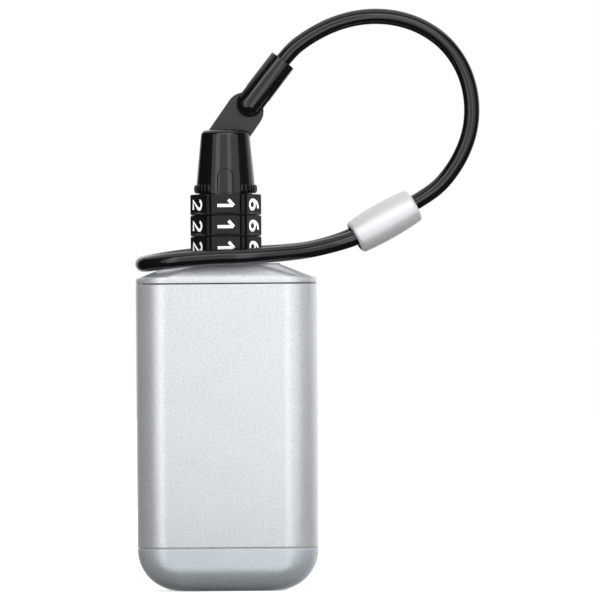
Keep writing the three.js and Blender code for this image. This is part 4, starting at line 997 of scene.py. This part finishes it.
alloy = finish("ferrule_alloy", FERRULE_ALLOY, 0.52, metallic=0.75, grain=0.5, bump=0.02, tone=0.06,
               stretch=(1, 1, 0.3))
ferrule_place = (Matrix.Translation(Vector(FERRULE_PLACE) * MM) @ Matrix.Rotation(FERRULE_YAW, 4, "Z")
                 @ Matrix.Rotation(math.pi / 2 - FERRULE_RISE, 4, "Y") @ Matrix.Rotation(FERRULE_ROLL, 4, "Z"))
half_length = FERRULE_LENGTH / 2 - FERRULE_EDGE
sections = []
for step in range(-FERRULE_STEPS, FERRULE_STEPS + 1):
    swell = 1 - (step / FERRULE_STEPS) ** 2
    half_x, half_y = (end + (full - end) * swell for full, end in (FERRULE_HALF, FERRULE_DEPTH))
    sections.append((half_x, half_y, half_x - FERRULE_FLAT, half_length * step / FERRULE_STEPS))
end = sections[0][:3]
for inset, short in quarter_round(FERRULE_EDGE, 6)[1:]:
    sections.insert(0, drawn_in(end, inset, -half_length - FERRULE_EDGE + short))
    sections.append(drawn_in(end, inset, half_length + FERRULE_EDGE - short))
ferrule = loft("cable_ferrule", sections, steps=FERRULE_CORNER_STEPS)
bores = []
for y in (-FERRULE_BORE_Y, FERRULE_BORE_Y):
    bore = turn_piece("bore", [(0, -FERRULE_BORE_CUT), (FERRULE_BORE, -FERRULE_BORE_CUT),
                               (FERRULE_BORE, FERRULE_BORE_CUT), (0, FERRULE_BORE_CUT)], sides=40)
    bore.data.transform(Matrix.Translation((0, y * MM, 0)))
    bores.append(bore)
mouth_wall, mouth_depth = FERRULE_MOUTH
mouth_x, mouth_y = FERRULE_HALF[1] - mouth_wall, FERRULE_DEPTH[1] - mouth_wall
for side in (-1, 1):
    bores.append(loft("mouth", [(mouth_x, mouth_y, mouth_x - FERRULE_MOUTH_FLAT, side * z) for z in
                                (half_length + FERRULE_EDGE - mouth_depth, half_length + FERRULE_MOUTH_CUT)]))
cut(ferrule, *bores)
ferrule.data.transform(ferrule_place)
ferrule.data.materials.append(alloy)
put(ferrule, "plug", "ferrule_alloy", "ferrule")

# Inner pieces: the moulded key tray, the lock's zinc post, brass code wheels and steel spindle, the springs,
# pins, washer and rings. They show when the lid is out or the plug is drawn. The click spring's bumps are
# pressed in, as when a dial stands between two numbers.
INNER = [
    # what it is, body, finish, CAD node, edge break
    ("tray_moulding", "lid", "tray_plastic", "key_tray", 0.3),
    ("seal_ring", "lid", "seal_rubber", "lid_seal", 0),
    ("latch_strip", "lid", "spring_steel", "latch_spring", 0),
    ("latch_rivet_pin", "lid", "plain_steel", "latch_rivet", 0),
    ("lock_post", "lid", "cast_zinc", "lock_core", 0.12),
    ("click_strip", "lid", "spring_steel", "click_spring", 0),
    ("washer", "lid", "plain_steel", "stack_washer", 0),
    ("clip", "lid", "spring_steel", "retaining_ring", 0),
    ("code_wheel_top", "dial_1", "wheel_brass", "code_wheel_1", 0),
    ("code_wheel_middle", "dial_2", "wheel_brass", "code_wheel_2", 0),
    ("code_wheel_low", "dial_3", "wheel_brass", "code_wheel_3", 0),
    ("toothed_spindle", "plug", "plain_steel", "spindle", 0.12),
    ("cross_pin", "plug", "plain_steel", "spindle_pin", 0.15),
    ("pivot", "plug", "plain_steel", "pivot_pin", 0.15),
    ("rivet", "link", "satin_black", "terminal_rivet", 0.15),
]
INNER_FINISHES = {
    "tray_plastic": finish("tray_plastic", (0.03, 0.03, 0.033), 0.55, grain=0.6, bump=0.03, tone=0.1),
    "seal_rubber": seal_rubber,
    "spring_steel": finish("spring_steel", (0.42, 0.43, 0.45), 0.3, metallic=1, grain=0.3, bump=0.006,
                           stretch=(0.15, 1, 1)),
    "plain_steel": finish("plain_steel", (0.6, 0.6, 0.61), 0.28, metallic=1, grain=0.3, bump=0.006,
                          stretch=(1, 1, 6)),
    "cast_zinc": finish("cast_zinc", (0.5, 0.51, 0.53), 0.48, metallic=0.85, grain=0.5, bump=0.02, tone=0.08),
    "wheel_brass": finish("wheel_brass", (0.72, 0.56, 0.26), 0.32, metallic=1, grain=0.3, bump=0.006,
                          stretch=(1, 1, 6)),
    "satin_black": link_grey,
}
FLAT_ANGLE = 1
CLICK_BUMP_START = 4.4
CLICK_BUMP_IN = 0.62


def merged_copy(name, node, edge):
    """A merged copy of a CAD piece, with its flat faces whole and its round ones shaded round."""
    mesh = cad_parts[node].data.copy()
    mesh.name = name
    work = bmesh.new()
    work.from_mesh(mesh)
    bmesh.ops.remove_doubles(work, verts=work.verts, dist=1e-6)
    bmesh.ops.dissolve_limit(work, angle_limit=math.radians(FLAT_ANGLE), verts=work.verts, edges=work.edges)
    work.to_mesh(mesh)
    work.free()
    mesh.materials.clear()
    piece = place_object(name, mesh)
    if edge:
        round_edges(piece, edge)
    shade(piece.data, SMOOTH_ANGLE)
    return piece


for name, body, slot, node, edge in INNER:
    piece = merged_copy(name, node, edge)
    if node == "click_spring":
        for vertex in piece.data.vertices:
            if vertex.co.y > CLICK_BUMP_START * MM:
                vertex.co.y -= CLICK_BUMP_IN * MM
    piece.data.materials.append(INNER_FINISHES[slot])
    put(piece, body, slot, node)

# Screws: small steel pan-head screws with crossed slots. Two hold the sleeve's floor to the cap, two the tray
# to the lid and two the lock's post to the lid.
SCREW_HEAD = (1.95, 1.4)
SCREW_DOME = [(0, 0.9), (0.15, 0.45), (0.55, 0.12), (1.1, 0)]
SCREW_SHANK = 1.0
SCREW_POINT = 0.3
SCREW_SLOT = (0.25, 0.7, 0.45)
SCREW_SETS = [
    # name, body, CAD nodes, places, height of the seat, length, upside down
    ("cap_screws", "case", ("cap_screw_left", "cap_screw_right"), (18, 0), 19.0, 8.0, 0),
    ("tray_screws", "lid", ("tray_screw_left", "tray_screw_right"), (18, 7.3), 92.3, 8.0, 1),
    ("core_screws", "lid", ("core_screw_left", "core_screw_right"), (7, 0), 102.4, 4.5, 1),
]

screw_tree, given = node_group("screw_pair", {"Spread": "Vector", "Height": "Float", "Turned over": "Float"})
row = screw_tree.nodes.new("GeometryNodeMeshLine")
row.inputs["Count"].default_value = 2
back, apart = (screw_tree.nodes.new("ShaderNodeVectorMath") for _ in range(2))
for scaled, times in ((back, -1), (apart, 2)):
    scaled.operation = "SCALE"
    scaled.inputs["Scale"].default_value = times
over = math_node(screw_tree, "MULTIPLY", None, math.pi)
flip, raise_by = (screw_tree.nodes.new("ShaderNodeCombineXYZ") for _ in range(2))
instances = screw_tree.nodes.new("GeometryNodeInstanceOnPoints")
move = screw_tree.nodes.new("GeometryNodeTransform")
wire(screw_tree, (given, "Spread", back, 0), (given, "Spread", apart, 0),
     (back, "Vector", row, "Start Location"), (apart, "Vector", row, "Offset"), (given, "Turned over", over, 0),
     (over, "Value", flip, "X"), (row, "Mesh", instances, "Points"), (given, "Geometry", instances, "Instance"),
     (flip, "Vector", instances, "Rotation"), (given, "Height", raise_by, "Z"),
     (instances, "Instances", move, "Geometry"), (raise_by, "Vector", move, "Translation"))
close_tree(screw_tree, given, move, "Geometry")

head_radius, head_height = SCREW_HEAD
slot_half, slot_depth, slot_short = SCREW_SLOT
for name, body, screws, (x, y), seat, length, over in SCREW_SETS:
    screw = turn_piece("screw", [
        (0, -length), (SCREW_SHANK - SCREW_POINT, -length), (SCREW_SHANK, SCREW_POINT - length),
        (SCREW_SHANK, 0), (head_radius, 0), *((head_radius - i, head_height - z) for i, z in SCREW_DOME),
        (0, head_height),
    ], sides=32)
    reach = head_radius - slot_short
    drive = (head_height - slot_depth, head_height + CUT_PAST)
    cut(screw, box_cutter((-reach, reach), (-slot_half, slot_half), drive))
    cut(screw, box_cutter((-slot_half, slot_half), (-reach, reach), drive))
    pair = grow(name, screw, screw_tree,
                {"Spread": (x * MM, y * MM, 0), "Height": seat * MM, "Turned over": float(over),
                 "Material": INNER_FINISHES["plain_steel"]}, SMOOTH_ANGLE)
    put(pair, body, "plain_steel", *screws)
